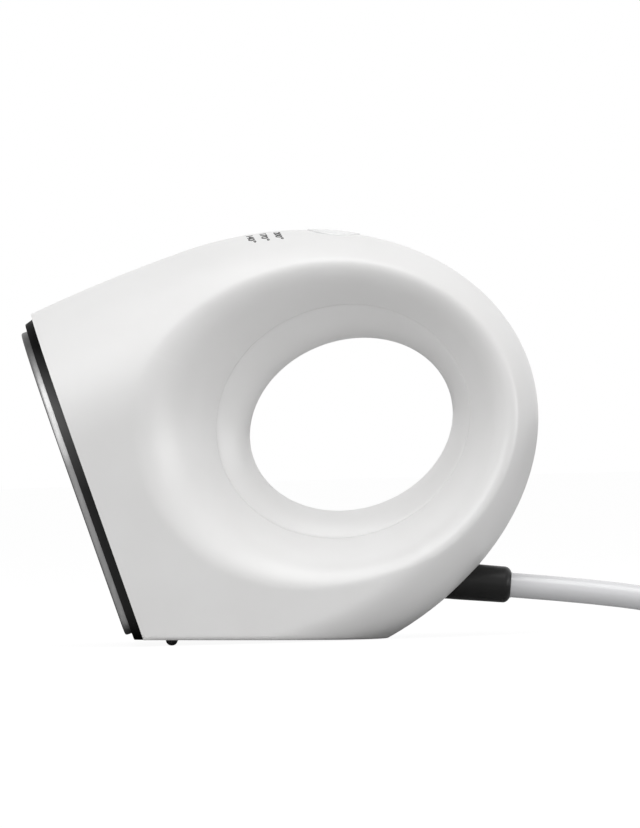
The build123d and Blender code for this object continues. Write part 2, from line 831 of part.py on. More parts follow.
# ---------------------------------------------------------------- lead inside the press
with BuildPart() as strain_relief:
    with BuildSketch(exit_plane):
        Circle(boot_radius - boot_slim)
    with BuildSketch(exit_plane.offset(-collar_at)):
        Circle(boot_radius)
    loft()
    with BuildSketch(exit_plane.offset(-collar_at)):
        Circle(boot_radius)
    extrude(amount=collar_at - boot_length)
    fillet(strain_relief.faces().sort_by(cord_axis)[-1].edges(), boot_edge)
    with BuildSketch(groove_plane.offset(boot_fit)):
        Circle(boot_radius + groove_depth)
    extrude(amount=boot_groove - 2 * boot_fit)
    with BuildSketch(exit_plane):
        Circle(cord_radius)
    extrude(amount=-boot_length, mode=Mode.SUBTRACT)
strain_relief.part.label = "strain_relief"
export_step(strain_relief.part, "parts/strain_relief.step")

with BuildPart() as inner_cord:
    with BuildSketch(exit_plane):
        Circle(cord_radius)
    extrude(amount=-inner_cord_length)
inner_cord.part.label = "inner_cord"
export_step(inner_cord.part, "parts/inner_cord.step")

with BuildPart() as cord_clamp:
    with BuildSketch(clamp_plane.offset(clamp_gap)):
        Rectangle(clamp_width, 2 * clamp_half)
        with Locations(*clamp_screw_places):
            Circle(pilot_radius + screw_fit, mode=Mode.SUBTRACT)
    extrude(amount=clamp_thick - clamp_gap)
    with BuildSketch(exit_plane.offset(-clamp_at - clamp_width)):
        Circle(cord_radius)
    extrude(amount=2 * clamp_width, mode=Mode.SUBTRACT)
cord_clamp.part.label = "cord_clamp"
export_step(cord_clamp.part, "parts/cord_clamp.step")


def tube(points, radii, radius):
    """Round tube along straight runs that are joined by tangent arcs."""
    with BuildPart() as piece:
        with BuildLine() as path:
            if len(points) > 2:
                FilletPolyline(*points, radius=radii)
            else:
                Line(*points)
        start = path.line @ 0
        with BuildSketch(Plane(origin=start, z_dir=path.line % 0)):
            Circle(radius)
        sweep(path=path.line)
    return piece.part


def on_board(x, y, lift=0.0):
    """Point over the power board, from its front edge."""
    return base.from_local_coords((power_front + x, y, power_top + lift))


tab_u = -(spigot_back - tab_reach)
sensor_u = -(shield_back - sensor_proud)
shield_u = -(shield_back - solder)
cable_x = cable_row - board_front
cable_end = crown.from_local_coords((cable_x, -cable_side, -board_depth - board_thick - solder))
cable_drop = crown.from_local_coords((cable_x, -cable_side, -board_depth - board_thick - cable_bow))


def core_run(place):
    """Wire from one core of the lead down to the top of the terminal block."""
    turn = core_turns[place]
    drop = base.to_local_coords(turn).Z - power_top - terminal_height - solder
    return [core_ends[place], turn, turn - base_up * drop]


def riser(y, lift):
    """The last points of a wire that comes down square to the power board."""
    return [on_board(lead_row, y, lift), on_board(lead_row, y, solder)]


def sensor_run(hand):
    """Wire from the back of the sensor to the power board."""
    near = hand * 1.2 * sensor_wire_radius
    return [at(sensor_u, sensor_w, near), at(sensor_u + 6.0, sensor_w, near)] + riser(near, 12.0)


def heater_run(y, w):
    """Wire from a tab of the heating element to the power board."""
    return [at(tab_u, w, y), at(tab_u + 8.0, w, y)] + riser(y, 12.0)


earth_run = [
    core_ends[2],
    core_turns[2],
    on_board(terminal_x - 4.5, 2.0, terminal_height + 7.5),
    on_board(0.3 * terminal_x, earth_side, earth_lift),
    at(shield_u + 4.0, earth_w, earth_side),
    at(shield_u, earth_w, earth_side),
]
cable_run = riser(-cable_side, 12.0)[::-1] + [
    at(crown_screw_u + cable_clear, crown_screw_w, -cable_side),
    cable_drop,
    cable_end,
]
wire_sets = (
    ("live_wire", [core_run(0)], wire_bend, wire_radius),
    ("neutral_wire", [core_run(1)], wire_bend, wire_radius),
    ("earth_wire", [earth_run], earth_bend, wire_radius),
    ("heater_leads", [heater_run(*tab) for tab in tab_places], wire_bend, wire_radius),
    ("sensor_wires", [sensor_run(hand) for hand in (-1, 1)], wire_bend, sensor_wire_radius),
    ("board_cable", [cable_run], earth_bend, cable_radius),
)
for name, runs, bend, radius in wire_sets:
    with BuildPart() as wire:
        for points in runs:
            add(tube(points, bend, radius))
    wire.part.label = name
    export_step(wire.part, f"parts/{name}.step")

# ---------------------------------------------------------------- lead outside the press
cord_size = 2 * cord_radius
coil_out = coil_radius + coil_turns_wide * cord_radius
coil_in = coil_radius - coil_turns_wide * cord_radius
coil_top = tie_thick + coil_turns_high * cord_size
coil_low = Plane((*coil_centre, tie_thick))

cord_route = [
    cord_exit,
    cord_exit + cord_out * 29.0,
    Vector(113.4, 0.0, cord_radius + 0.2),
    Vector(134.3, -14.6, tie_thick + cord_radius),
]
lead_route = [
    Vector(134.2, -6.7, 17.2),
    Vector(157.4, -14.1, 21.5),
    Vector(176.4, -8.3, 25.4),
    Vector(189.3, 4.2, 26.0),
    Vector(193.8, 15.8, 26.4),
    Vector(193.8, 27.7, 27.6),
    Vector(189.1, 39.1, 29.6),
    Vector(180.4, 47.8, 32.0),
    Vector(169.0, 52.5, 34.4),
    Vector(156.6, 52.5, 35.4),
]


def bend_radii(points):
    """The largest tangent arc that each corner of a route allows."""
    radii = []
    for before, corner, after in zip(points, points[1:], points[2:]):
        turn = (corner - before).get_angle(after - corner)
        shorter = min((corner - before).length, (after - corner).length)
        radii.append(0.45 * shorter / tan(radians(turn / 2)))
    return radii


for name, route in (("power_cord", cord_route), ("plug_lead", lead_route)):
    radii = bend_radii(route)
    print(name, "bend radii", [round(radius, 1) for radius in radii])
    with BuildPart() as lead:
        add(tube(route, radii, cord_radius))
    lead.part.label = name
    export_step(lead.part, f"parts/{name}.step")

with BuildPart() as cord_coil:
    with BuildSketch(coil_low):
        Circle(coil_out)
        Circle(coil_in, mode=Mode.SUBTRACT)
    extrude(amount=coil_turns_high * cord_size)
    fillet(cord_coil.edges(), cord_radius * 0.7)
cord_coil.part.label = "cord_coil"
export_step(cord_coil.part, "parts/cord_coil.step")

tie_inner = coil_out - coil_radius + tie_slack
tie_plane = Plane(
    origin=(coil_centre[0] + coil_radius * cos(radians(tie_turn)),
            coil_centre[1] + coil_radius * sin(radians(tie_turn)), 0),
    x_dir=(cos(radians(tie_turn)), sin(radians(tie_turn)), 0),
    z_dir=(sin(radians(tie_turn)), -cos(radians(tie_turn)), 0),
)
with BuildPart() as cord_tie:
    with BuildSketch(tie_plane.offset(-tie_width / 2)):
        with Locations((0, (coil_top + tie_thick) / 2)):
            Rectangle(2 * (tie_inner + tie_thick), coil_top + tie_thick)
            Rectangle(2 * tie_inner, coil_top - tie_thick, mode=Mode.SUBTRACT)
    extrude(amount=tie_width)
cord_tie.part.label = "cord_tie"
export_step(cord_tie.part, "parts/cord_tie.step")

plug_run = lead_route[-1] - lead_route[-2]
plug_dir = Vector(plug_run.X, plug_run.Y, 0).normalized()
plug_plane = Plane(origin=lead_route[-1], x_dir=plug_dir.cross(Vector(0, 0, 1)), z_dir=plug_dir)
with BuildPart() as plug_body:
    with BuildSketch(plug_plane):
        Circle(plug_neck_radius)
    with BuildSketch(plug_plane.offset(plug_neck)):
        RectangleRounded(plug_width * 0.8, plug_height * 0.8, plug_height * 0.39)
    loft()
    with BuildSketch(plug_plane.offset(plug_neck)):
        RectangleRounded(plug_width, plug_height, plug_height * 0.45)
    extrude(amount=plug_length)
plug_body.part.label = "plug_body"
export_step(plug_body.part, "parts/plug_body.step")

with BuildPart() as plug_pins:
    with BuildSketch(plug_plane.offset(plug_neck + plug_length)):
        with Locations((-plug_pin_gap / 2, 0), (plug_pin_gap / 2, 0)):
            Circle(plug_pin_radius)
    extrude(amount=plug_pin_length)
    fillet(plug_pins.faces().sort_by(Axis(plug_plane.origin, plug_dir))[-2:].edges(), 1.0)
plug_pins.part.label = "plug_pins"
export_step(plug_pins.part, "parts/plug_pins.step")
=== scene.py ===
"""Looks of the mini handheld heat press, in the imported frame."""

import bpy
import bmesh
from math import asin, atan2, cos, pi, radians, sin, sqrt, tan
from mathutils import Matrix, Vector


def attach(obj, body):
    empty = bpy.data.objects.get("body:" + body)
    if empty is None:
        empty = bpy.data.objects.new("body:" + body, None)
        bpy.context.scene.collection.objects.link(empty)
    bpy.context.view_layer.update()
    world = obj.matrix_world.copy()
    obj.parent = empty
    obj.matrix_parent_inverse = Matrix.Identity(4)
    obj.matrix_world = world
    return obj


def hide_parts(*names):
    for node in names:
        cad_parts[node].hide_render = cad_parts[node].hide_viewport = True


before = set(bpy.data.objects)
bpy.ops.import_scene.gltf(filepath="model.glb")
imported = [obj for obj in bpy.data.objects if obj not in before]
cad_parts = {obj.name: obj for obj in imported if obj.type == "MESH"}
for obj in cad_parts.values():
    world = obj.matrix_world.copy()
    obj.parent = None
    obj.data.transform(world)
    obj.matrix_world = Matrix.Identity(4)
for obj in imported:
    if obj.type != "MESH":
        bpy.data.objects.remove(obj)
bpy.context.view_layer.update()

MM = 0.001

# ---------------------------------------------------------------- the press's own frame, in mm
# u runs from the sole to the ring grip, w across it to the crown, y across the press
RING_REACH, RING_RISE, RING_BACK = 77.8, 59.1, 27.0
NOSE_REACH = 165.0
FRONT_FACE = 71.6
HALF_WIDTH = 29.0
CROWN_DEPTH, REAR_DEPTH, UNDER_DEPTH = 38.0, 26.0, 13.0
ROLL_RISE, ROLL_SINK = (CROWN_DEPTH + UNDER_DEPTH) / 2, (CROWN_DEPTH - UNDER_DEPTH) / 2
WALL = 2.2
LIP_CENTRE, LIP_LENGTH, LIP_HEIGHT, LIP_HALF = (-1.9, 1.5), 34.4, 30.9, 10.0
MOUTH_CENTRE, MOUTH_LENGTH, MOUTH_HEIGHT = (-0.8, 5.85), 51.1, 44.25
THROAT_LENGTH, THROAT_HEIGHT = 27.9, 22.7
BASE_DROP = 35.8
BASE_TILT, REST_TILT = radians(19.5), radians(1.5783825)
SLOPE = tan(BASE_TILT)
BASE_LEVEL = BASE_DROP + FRONT_FACE * SLOPE
LEAN = BASE_TILT - REST_TILT
HOLE = Vector((19.1576, 0.0, 57.898587))
ALONG = Vector((cos(LEAN), 0.0, sin(LEAN)))
ACROSS = Vector((-sin(LEAN), 0.0, cos(LEAN)))
BASE_DIR = Vector((cos(REST_TILT), 0.0, -sin(REST_TILT)))
BASE_UP = Vector((sin(REST_TILT), 0.0, cos(REST_TILT)))


def at(u, w, y=0.0):
    """Point of the press frame in space, in metres."""
    return (HOLE + ALONG * u + ACROSS * w + Vector((0.0, y, 0.0))) * MM


def base_w(u):
    """Height of the base line at u."""
    return -(BASE_LEVEL + SLOPE * u)


def height_share(u, fall):
    """Share of the form's full height that is left at u, on one level of its roll."""
    reach = RING_REACH - REAR_DEPTH * fall if u > -RING_BACK else NOSE_REACH
    return sqrt(max(0.0, 1 - ((u + RING_BACK) / reach) ** 2))


def crown_w(u, y):
    """Height of the crown's surface over u and y."""
    fall = 1 - cos(asin(min(1.0, abs(y) / HALF_WIDTH)))
    return (RING_RISE - ROLL_RISE * fall) * height_share(u, fall) - ROLL_SINK * fall


# ---------------------------------------------------------------- camera and light
PIXEL, PICTURE_ROWS = 0.27, 828
LENS, SENSOR = 400.0, 36.0
NEAREST, FARTHEST = 0.05, 50.0
# the middle of the view, in pixels ahead of and above the middle of the finger hole
SIGHT_AHEAD, SIGHT_ABOVE = 31.3, 10.2
sight = (HOLE - BASE_DIR * SIGHT_AHEAD * PIXEL + BASE_UP * SIGHT_ABOVE * PIXEL) * MM
distance = PICTURE_ROWS * PIXEL * MM * LENS / SENSOR
camera_data = bpy.data.cameras.new("camera")
camera_data.lens = LENS
camera_data.sensor_width = SENSOR
camera_data.clip_start = NEAREST
camera_data.clip_end = FARTHEST
camera = bpy.data.objects.new("camera", camera_data)
bpy.context.collection.objects.link(camera)
across_view = Matrix((BASE_DIR, BASE_UP, BASE_DIR.cross(BASE_UP))).transposed()
camera.matrix_world = Matrix.Translation(sight + Vector((0, -distance, 0))) @ across_view.to_4x4()
bpy.context.scene.camera = camera

LAMP_AIM = Vector((0.0, 0.0, 0.05))
LAMPS = (
    ("overhead", (0.02, -0.4, 1.08), 0.9, 6.2),
    ("front_fill", (-0.45, -1.05, 0.85), 0.7, 4.3),
    ("side_fill", (1.1, -0.28, 0.05), 0.7, 5.2),
)
ROOM_LIGHT, SEEN_LIGHT = 0.35, 1.0
PLAIN_WHITE = (1.0, 1.0, 1.0, 1.0)


def soft_lamp(name, place, size, power):
    """A square soft lamp that looks at the press."""
    data = bpy.data.lights.new(name, "AREA")
    data.shape = "SQUARE"
    data.size = size
    data.energy = power
    lamp = bpy.data.objects.new(name, data)
    lamp.location = place
    lamp.rotation_euler = (LAMP_AIM - Vector(place)).to_track_quat("-Z", "Y").to_euler()
    bpy.context.collection.objects.link(lamp)


for lamp_row in LAMPS:
    soft_lamp(*lamp_row)

world = bpy.data.worlds.new("studio")
bpy.context.scene.world = world
world.use_nodes = True
sky = world.node_tree
sky.nodes.clear()
sky_out = sky.nodes.new("ShaderNodeOutputWorld")


def backdrop(strength):
    """An even white background."""
    even = sky.nodes.new("ShaderNodeBackground")
    even.inputs["Color"].default_value = PLAIN_WHITE
    even.inputs["Strength"].default_value = strength
    return even.outputs[0]


def either(one, other):
    """1 where at least one of two kinds of ray looks at the room, else 0."""
    larger = sky.nodes.new("ShaderNodeMath")
    larger.operation = "MAXIMUM"
    sky.links.new(one, larger.inputs[0])
    sky.links.new(other, larger.inputs[1])
    return larger.outputs[0]


# the room lights the press dimly, and is white where the camera, a mirror or clear stuff shows it
room, white = backdrop(ROOM_LIGHT), backdrop(SEEN_LIGHT)
ray = sky.nodes.new("ShaderNodeLightPath")
mirrored = either(ray.outputs["Is Camera Ray"], ray.outputs["Is Glossy Ray"])
seen = either(mirrored, ray.outputs["Is Transmission Ray"])
pick = sky.nodes.new("ShaderNodeMixShader")
for socket, source in zip(pick.inputs, (seen, room, white)):
    sky.links.new(source, socket)
sky.links.new(pick.outputs[0], sky_out.inputs[0])

bpy.context.scene.view_settings.view_transform = "Standard"


# ---------------------------------------------------------------- finishes
NOISE_LOW, NOISE_HIGH = 0.3, 0.7
TONE_LOW, TONE_HIGH = 0.35, 0.65
# scale and detail of the noises
SLOW_DRIFT, FINE_DETAIL = (35.0, 3.0), 2.0
BRUSH_LINES, BRUSH_DRIFT, BRUSH_DEPTH = (900.0, 4.0), (60.0, 2.0), 0.000006
COAT_ROUGH = 0.12
STRIPES, STRIPE_WAVER, WIRE_GRAIN, WIRE_ROUGH = 160.0, 0.4, 1500.0, (0.35, 0.45)
FINE_DEPTH = 0.00001
SOLE_TOP = 0.09


def grey(tone):
    """A colour without hue."""
    return (tone, tone, tone)


def new_finish(name):
    """An empty node material with its shader and its object coordinates."""
    finish = bpy.data.materials.new(name)
    finish.use_nodes = True
    tree = finish.node_tree
    tree.nodes.clear()
    out = tree.nodes.new("ShaderNodeOutputMaterial")
    shader = tree.nodes.new("ShaderNodeBsdfPrincipled")
    place = tree.nodes.new("ShaderNodeTexCoord")
    tree.links.new(shader.outputs[0], out.inputs[0])
    return finish, tree, shader, place


def noise_on(tree, place, scale, detail, stretch=(1, 1, 1)):
    """Noise on object coordinates, stretched along an axis if asked."""
    spread = tree.nodes.new("ShaderNodeMapping")
    spread.inputs["Scale"].default_value = stretch
    noise = tree.nodes.new("ShaderNodeTexNoise")
    noise.inputs["Scale"].default_value = scale
    noise.inputs["Detail"].default_value = detail
    tree.links.new(place.outputs["Object"], spread.inputs["Vector"])
    tree.links.new(spread.outputs[0], noise.inputs["Vector"])
    return noise.outputs[0]


def between(tree, source, low, high):
    """A number that follows a noise from low to high."""
    spread = tree.nodes.new("ShaderNodeMapRange")
    spread.inputs["From Min"].default_value = NOISE_LOW
    spread.inputs["From Max"].default_value = NOISE_HIGH
    spread.inputs["To Min"].default_value = low
    spread.inputs["To Max"].default_value = high
    tree.links.new(source, spread.inputs["Value"])
    return spread.outputs[0]


def two_tones(tree, source, dark, light):
    """A colour that drifts between two tones with a noise."""
    ramp = tree.nodes.new("ShaderNodeValToRGB")
    ends = ramp.color_ramp.elements
    for end, spot, tone in zip(ends, (TONE_LOW, TONE_HIGH), (dark, light)):
        end.position = spot
        end.color = (*tone, 1.0)
    tree.links.new(source, ramp.inputs[0])
    return ramp.outputs[0]


def raise_skin(tree, shader, source, depth):
    """Bump of the given depth, in metres, from a noise."""
    bump = tree.nodes.new("ShaderNodeBump")
    bump.inputs["Strength"].default_value = 1.0
    bump.inputs["Distance"].default_value = depth
    tree.links.new(source, bump.inputs["Height"])
    tree.links.new(bump.outputs[0], shader.inputs["Normal"])


def moulded(name, dark, light, rough, grain=2600.0, depth=FINE_DEPTH, coat=0.0, metal=0.0, gloss=0.5):
    """Moulded or coated stuff: slow drift of tone, fine grain in gloss and skin."""
    finish, tree, shader, place = new_finish(name)
    shader.inputs["Specular IOR Level"].default_value = gloss
    drift = noise_on(tree, place, *SLOW_DRIFT)
    fine = noise_on(tree, place, grain, FINE_DETAIL)
    tree.links.new(two_tones(tree, drift, dark, light), shader.inputs["Base Color"])
    tree.links.new(between(tree, fine, *rough), shader.inputs["Roughness"])
    shader.inputs["Metallic"].default_value = metal
    if coat:
        shader.inputs["Coat Weight"].default_value = coat
        shader.inputs["Coat Roughness"].default_value = COAT_ROUGH
    raise_skin(tree, shader, fine, depth)
    return finish


def brushed(name, dark, light, rough, stretch):
    """Brushed metal: long scratches across the grain direction."""
    finish, tree, shader, place = new_finish(name)
    lines = noise_on(tree, place, *BRUSH_LINES, stretch)
    drift = noise_on(tree, place, *BRUSH_DRIFT)
    tree.links.new(two_tones(tree, lines, dark, light), shader.inputs["Base Color"])
    tree.links.new(between(tree, drift, *rough), shader.inputs["Roughness"])
    shader.inputs["Metallic"].default_value = 1.0
    raise_skin(tree, shader, lines, BRUSH_DEPTH)
    return finish


def painted_sole_highlight(finish, tones):
    """Paints highlight and shade along the sole's length, from its foot to its top, under the finish's own
    drift: a ramp of tones multiplied into the base colour stands in for the lamps' reflection on the sides.
    """
    tree = finish.node_tree
    shader = next(n for n in tree.nodes if n.type == "BSDF_PRINCIPLED")
    place = next(n for n in tree.nodes if n.type == "TEX_COORD")
    apart = tree.nodes.new("ShaderNodeSeparateXYZ")
    tree.links.new(place.outputs["Object"], apart.inputs[0])
    rise = tree.nodes.new("ShaderNodeMapRange")
    rise.inputs["From Min"].default_value = 0.0
    rise.inputs["From Max"].default_value = SOLE_TOP
    tree.links.new(apart.outputs["Z"], rise.inputs["Value"])
    ramp = tree.nodes.new("ShaderNodeValToRGB")
    stops = ramp.color_ramp.elements
    while len(stops) < len(tones):
        stops.new(0.5)
    for stop, (spot, tone) in zip(stops, tones):
        stop.position = spot
        stop.color = (*grey(tone), 1.0)
    tree.links.new(rise.outputs[0], ramp.inputs[0])
    old = shader.inputs["Base Color"].links[0].from_socket
    blend = tree.nodes.new("ShaderNodeMix")
    blend.data_type = "RGBA"
    blend.blend_type = "MULTIPLY"
    blend.inputs[0].default_value = 1.0
    tree.links.new(old, blend.inputs[6])
    tree.links.new(ramp.outputs[0], blend.inputs[7])
    tree.links.new(blend.outputs[2], shader.inputs["Base Color"])


housing_white = moulded("housing_white", (0.800, 0.795, 0.790), (0.825, 0.822, 0.818), (0.30, 0.36))
button_white = moulded("button_white", grey(0.82), grey(0.84), (0.24, 0.30), coat=0.2)
bezel_black = moulded("bezel_black", grey(0.118), grey(0.124), (0.46, 0.54), gloss=0.03)
# painted highlight and shade: the frame's sides go black at both ends and bright in a band over the upper part,
# standing in for the lamps' sheen
painted_sole_highlight(bezel_black, (
    (0.03, 0.0), (0.11, 0.18), (0.47, 0.24), (0.59, 0.62), (0.66, 0.96),
    (0.72, 0.96), (0.835, 0.24), (0.90, 0.03), (0.95, 0.0),
))
sole_dark = moulded("sole_dark", (0.020, 0.020, 0.022), (0.030, 0.030, 0.032), (0.34, 0.46), 1800.0, 0.00002)
plate_metal = brushed("plate_metal", grey(0.72), grey(0.80), (0.34, 0.42), (1.0, 1.0, 0.08))
# painted highlight and shade: the sole's metal sides are dark at both ends and brightest in a band over the
# upper part, standing in for the lamps' reflection
painted_sole_highlight(plate_metal, (
    (0.05, 0.12), (0.08, 0.38), (0.54, 0.50), (0.585, 0.96),
    (0.63, 0.96), (0.70, 0.54), (0.90, 0.11), (1.0, 0.08),
))
sheet_metal = brushed("sheet_metal", (0.42, 0.42, 0.43), (0.60, 0.60, 0.61), (0.34, 0.44), (0.1, 1.0, 1.0))
screw_steel = moulded("screw_steel", (0.42, 0.42, 0.43), (0.56, 0.56, 0.57), (0.28, 0.40), metal=1.0)
pin_metal = brushed("pin_metal", (0.62, 0.61, 0.59), (0.76, 0.75, 0.73), (0.18, 0.28), (1.0, 1.0, 0.1))
boot_black = moulded("boot_black", grey(0.010), grey(0.015), (0.30, 0.36), 1500.0, gloss=0.24)
foot_rubber = moulded("foot_rubber", grey(0.080), grey(0.110), (0.40, 0.52), 1500.0, 0.00003)
cord_silver = moulded(
    "cord_silver", (0.72, 0.72, 0.735), (0.74, 0.74, 0.755), (0.22, 0.27), 1200.0, 0.000004, coat=0.5,
)
tie_black = moulded("tie_black", grey(0.012), grey(0.026), (0.70, 0.85), 2200.0, 0.00006)
plug_black = moulded("plug_black", grey(0.014), grey(0.024), (0.38, 0.50), 1600.0, 0.00003)
board_green = moulded("board_green", (0.012, 0.10, 0.035), (0.018, 0.14, 0.05), (0.30, 0.42), 900.0, coat=0.3)
part_black = moulded("part_black", grey(0.012), grey(0.024), (0.34, 0.48))
part_blue = moulded("part_blue", (0.02, 0.09, 0.36), (0.03, 0.12, 0.42), (0.28, 0.40))
part_yellow = moulded("part_yellow", (0.62, 0.44, 0.03), (0.70, 0.52, 0.05), (0.28, 0.38))
mica_brown = moulded("mica_brown", (0.22, 0.15, 0.07), (0.34, 0.24, 0.12), (0.30, 0.55), 700.0, 0.00004)
fibre_mat = moulded("fibre_mat", (0.62, 0.58, 0.48), (0.76, 0.72, 0.62), (0.85, 0.95), 900.0, 0.00018)
sensor_glass = moulded("sensor_glass", (0.50, 0.26, 0.07), (0.58, 0.32, 0.10), (0.08, 0.16), coat=0.5)
lens_clear = moulded("lens_clear", (0.72, 0.72, 0.71), (0.78, 0.78, 0.77), (0.18, 0.26), coat=0.4)
led_clear = moulded("led_clear", (0.66, 0.66, 0.50), (0.76, 0.76, 0.60), (0.15, 0.25))
numeral_ink = moulded("numeral_ink", grey(0.012), grey(0.022), (0.45, 0.60))
wire_brown = moulded("wire_brown", (0.10, 0.035, 0.012), (0.14, 0.05, 0.02), WIRE_ROUGH)
wire_blue = moulded("wire_blue", (0.02, 0.05, 0.30), (0.03, 0.07, 0.36), WIRE_ROUGH)
wire_white = moulded("wire_white", (0.70, 0.70, 0.68), (0.78, 0.78, 0.76), WIRE_ROUGH)
wire_grey = moulded("wire_grey", (0.16, 0.16, 0.17), (0.22, 0.22, 0.23), WIRE_ROUGH)


def striped_wire():
    """Green insulation with yellow stripes."""
    finish, tree, shader, place = new_finish("wire_green")
    bands = tree.nodes.new("ShaderNodeTexWave")
    bands.inputs["Scale"].default_value = STRIPES
    bands.inputs["Distortion"].default_value = STRIPE_WAVER
    tree.links.new(place.outputs["Object"], bands.inputs["Vector"])
    stripes = two_tones(tree, bands.outputs["Fac"], (0.03, 0.20, 0.03), (0.70, 0.62, 0.04))
    tree.links.new(stripes, shader.inputs["Base Color"])
    fine = noise_on(tree, place, WIRE_GRAIN, FINE_DETAIL)
    tree.links.new(between(tree, fine, *WIRE_ROUGH), shader.inputs["Roughness"])
    raise_skin(tree, shader, fine, FINE_DEPTH)
    return finish


wire_green = striped_wire()

NODE_FINISHES = {
    sheet_metal: ("pressure_plate", "heat_shield", "fuse_strap", "thermal_fuse", "tilt_sensor"),
    screw_steel: ("plate_screws", "case_screws", "clamp_screws", "board_screws", "power_board_screws"),
    mica_brown: ("heating_element", "mica_sheet"),
    fibre_mat: ("insulation_mat",),
    sensor_glass: ("thermistor",),
    board_green: ("control_board", "power_board"),
    part_black: (
        "control_chip", "triac", "switch_body", "switch_stem", "buzzer",
        "smoothing_capacitor", "cord_clamp",
    ),
    part_blue: ("relay", "terminal_block"),
    part_yellow: ("film_capacitor",),
    led_clear: ("indicator_leds",),
    lens_clear: ("light_guide",),
    foot_rubber: ("front_feet",),
    cord_silver: ("inner_cord",),
    tie_black: ("cord_tie",),
    plug_black: ("plug_body",),
    pin_metal: ("plug_pins",),
    wire_brown: ("live_wire",),
    wire_blue: ("neutral_wire",),
    wire_green: ("earth_wire",),
    wire_white: ("heater_leads", "sensor_wires"),
    wire_grey: ("board_cable",),
}
for finish, names in NODE_FINISHES.items():
    for name in names:
        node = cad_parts[name]
        node.data.materials.clear()
        node.data.materials.append(finish)


# ---------------------------------------------------------------- mesh helpers
SMOOTH_TO = 35.0


def circle(count):
    """The cosine and sine of equal steps round a circle."""
    return [(cos(2 * pi * k / count), sin(2 * pi * k / count)) for k in range(count)]


def first_loop(bm, points):
    """A closed loop of vertices at the given points."""
    made = bmesh.ops.create_circle(bm, cap_ends=False, segments=len(points), radius=1.0)
    loop = made["verts"]
    for vert, point in zip(loop, points):
        vert.co = point
    return loop


def next_loop(bm, loop, points):
    """Extrudes a loop once and moves the new one to the given points."""
    bm.edges.ensure_lookup_table()
    edges = [bm.edges.get((a, b)) for a, b in zip(loop, loop[1:] + loop[:1])]
    made = bmesh.ops.extrude_edge_only(bm, edges=edges)["geom"]
    fresh = {item for item in made if isinstance(item, bmesh.types.BMVert)}
    grown = []
    for vert, point in zip(loop, points):
        partner = next(e.other_vert(vert) for e in vert.link_edges if e.other_vert(vert) in fresh)
        partner.co = point
        grown.append(partner)
    return grown


def skin(bm, rows, closed=False):
    """A surface through rows of points; closed joins the last row to the first."""
    first = first_loop(bm, rows[0])
    loop = first
    for row in rows[1:]:
        loop = next_loop(bm, loop, row)
    if closed:
        ends = [bm.edges.get((a, b)) for a, b in zip(loop, loop[1:] + loop[:1])]
        starts = [bm.edges.get((a, b)) for a, b in zip(first, first[1:] + first[:1])]
        bmesh.ops.bridge_loops(bm, edges=ends + starts)
    return first, loop


def finished(name, bm, finish, body="press", sharp=SMOOTH_TO):
    """The bmesh as a smooth piece that rides its body."""
    bmesh.ops.recalc_face_normals(bm, faces=bm.faces)
    mesh = bpy.data.meshes.new(name)
    bm.to_mesh(mesh)
    bm.free()
    piece = bpy.data.objects.new(name, mesh)
    bpy.context.collection.objects.link(piece)
    mesh.materials.append(finish)
    smooth_over(piece, sharp)
    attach(piece, body)
    return piece


def smooth_over(piece, sharp):
    """Smooth shading, broken where faces meet at more than the given angle."""
    for face in piece.data.polygons:
        face.use_smooth = True
    piece.data.set_sharp_from_angle(angle=radians(sharp))


def settle(piece, sharp):
    """Applies the piece's modifiers to its mesh."""
    ready = bpy.context.evaluated_depsgraph_get()
    mesh = bpy.data.meshes.new_from_object(piece.evaluated_get(ready))
    piece.modifiers.clear()
    piece.data = mesh
    smooth_over(piece, sharp)


# ---------------------------------------------------------------- the lead
CORD = 6.8
EXIT = at(26.35, -55.4)
LEAD_FALL = BASE_TILT + radians(4.3)
OUT = ALONG * cos(LEAD_FALL) - ACROSS * sin(LEAD_FALL)
STRAIGHT_RUN, LANDING = 38.0, (113.4, 0.0, 3.6)
COIL = Vector((150.0, 25.5))
OUTER_TURN = 41.8
TURNS, TURN_POINTS = 7, 16
PULL_IN = cos(pi / TURN_POINTS)  # the line runs this much inside its control points
FIRST_TURN = radians(-113.55)
# the turns at which the lead steps inwards (-1) or outwards (1) by its own diameter
SIDE_STEPS = ((0.70, -1), (1.70, -1), (3.22, 1), (4.22, 1), (5.70, -1), (6.44, -1))
SIDE_STEP_SPAN = 0.27  # in turns
# the turns at which it climbs to its next layer, and how many turns each climb takes
CLIMBS = ((2.48, 0.25), (4.97, 0.25), (6.72, 0.28))
LOWEST_LAYER, LAYER_RISE = 4.2, 6.87
TO_THE_PLUG = (
    (150.5, -5.4, 24.9), (163.0, -6.7, 25.2), (175.8, -3.5, 25.6), (186.2, 4.7, 26.0), (192.2, 15.6, 26.4),
    (193.4, 27.7, 27.6), (189.1, 39.1, 29.6), (180.4, 47.8, 32.0), (169.0, 52.5, 34.4), (156.6, 52.5, 35.4),
)


def eased(share):
    """0 to 1 with level ends."""
    share = min(1.0, max(0.0, share))
    return share * share * (3 - 2 * share)


def coil_radius(turn):
    """Distance of the coiled lead from the coil's middle after so many turns."""
    return OUTER_TURN + CORD * sum(way * eased((turn - begin) / SIDE_STEP_SPAN) for begin, way in SIDE_STEPS)


def coil_height(turn):
    """Height of the coiled lead's middle after so many turns."""
    return LOWEST_LAYER + LAYER_RISE * sum(eased((turn - begin) / span) for begin, span in CLIMBS)


def coil_point(turn):
    """Control point of the coiled lead after so many turns."""
    angle = FIRST_TURN + 2 * pi * turn
    reach = coil_radius(turn) / PULL_IN
    return Vector((COIL.x + reach * cos(angle), COIL.y + reach * sin(angle), coil_height(turn)))


lead_points = [EXIT / MM, EXIT / MM + OUT * STRAIGHT_RUN, Vector(LANDING)]
lead_points += [coil_point(count / TURN_POINTS) for count in range(TURN_POINTS * TURNS + 1)]
lead_points += [Vector(place) for place in TO_THE_PLUG]


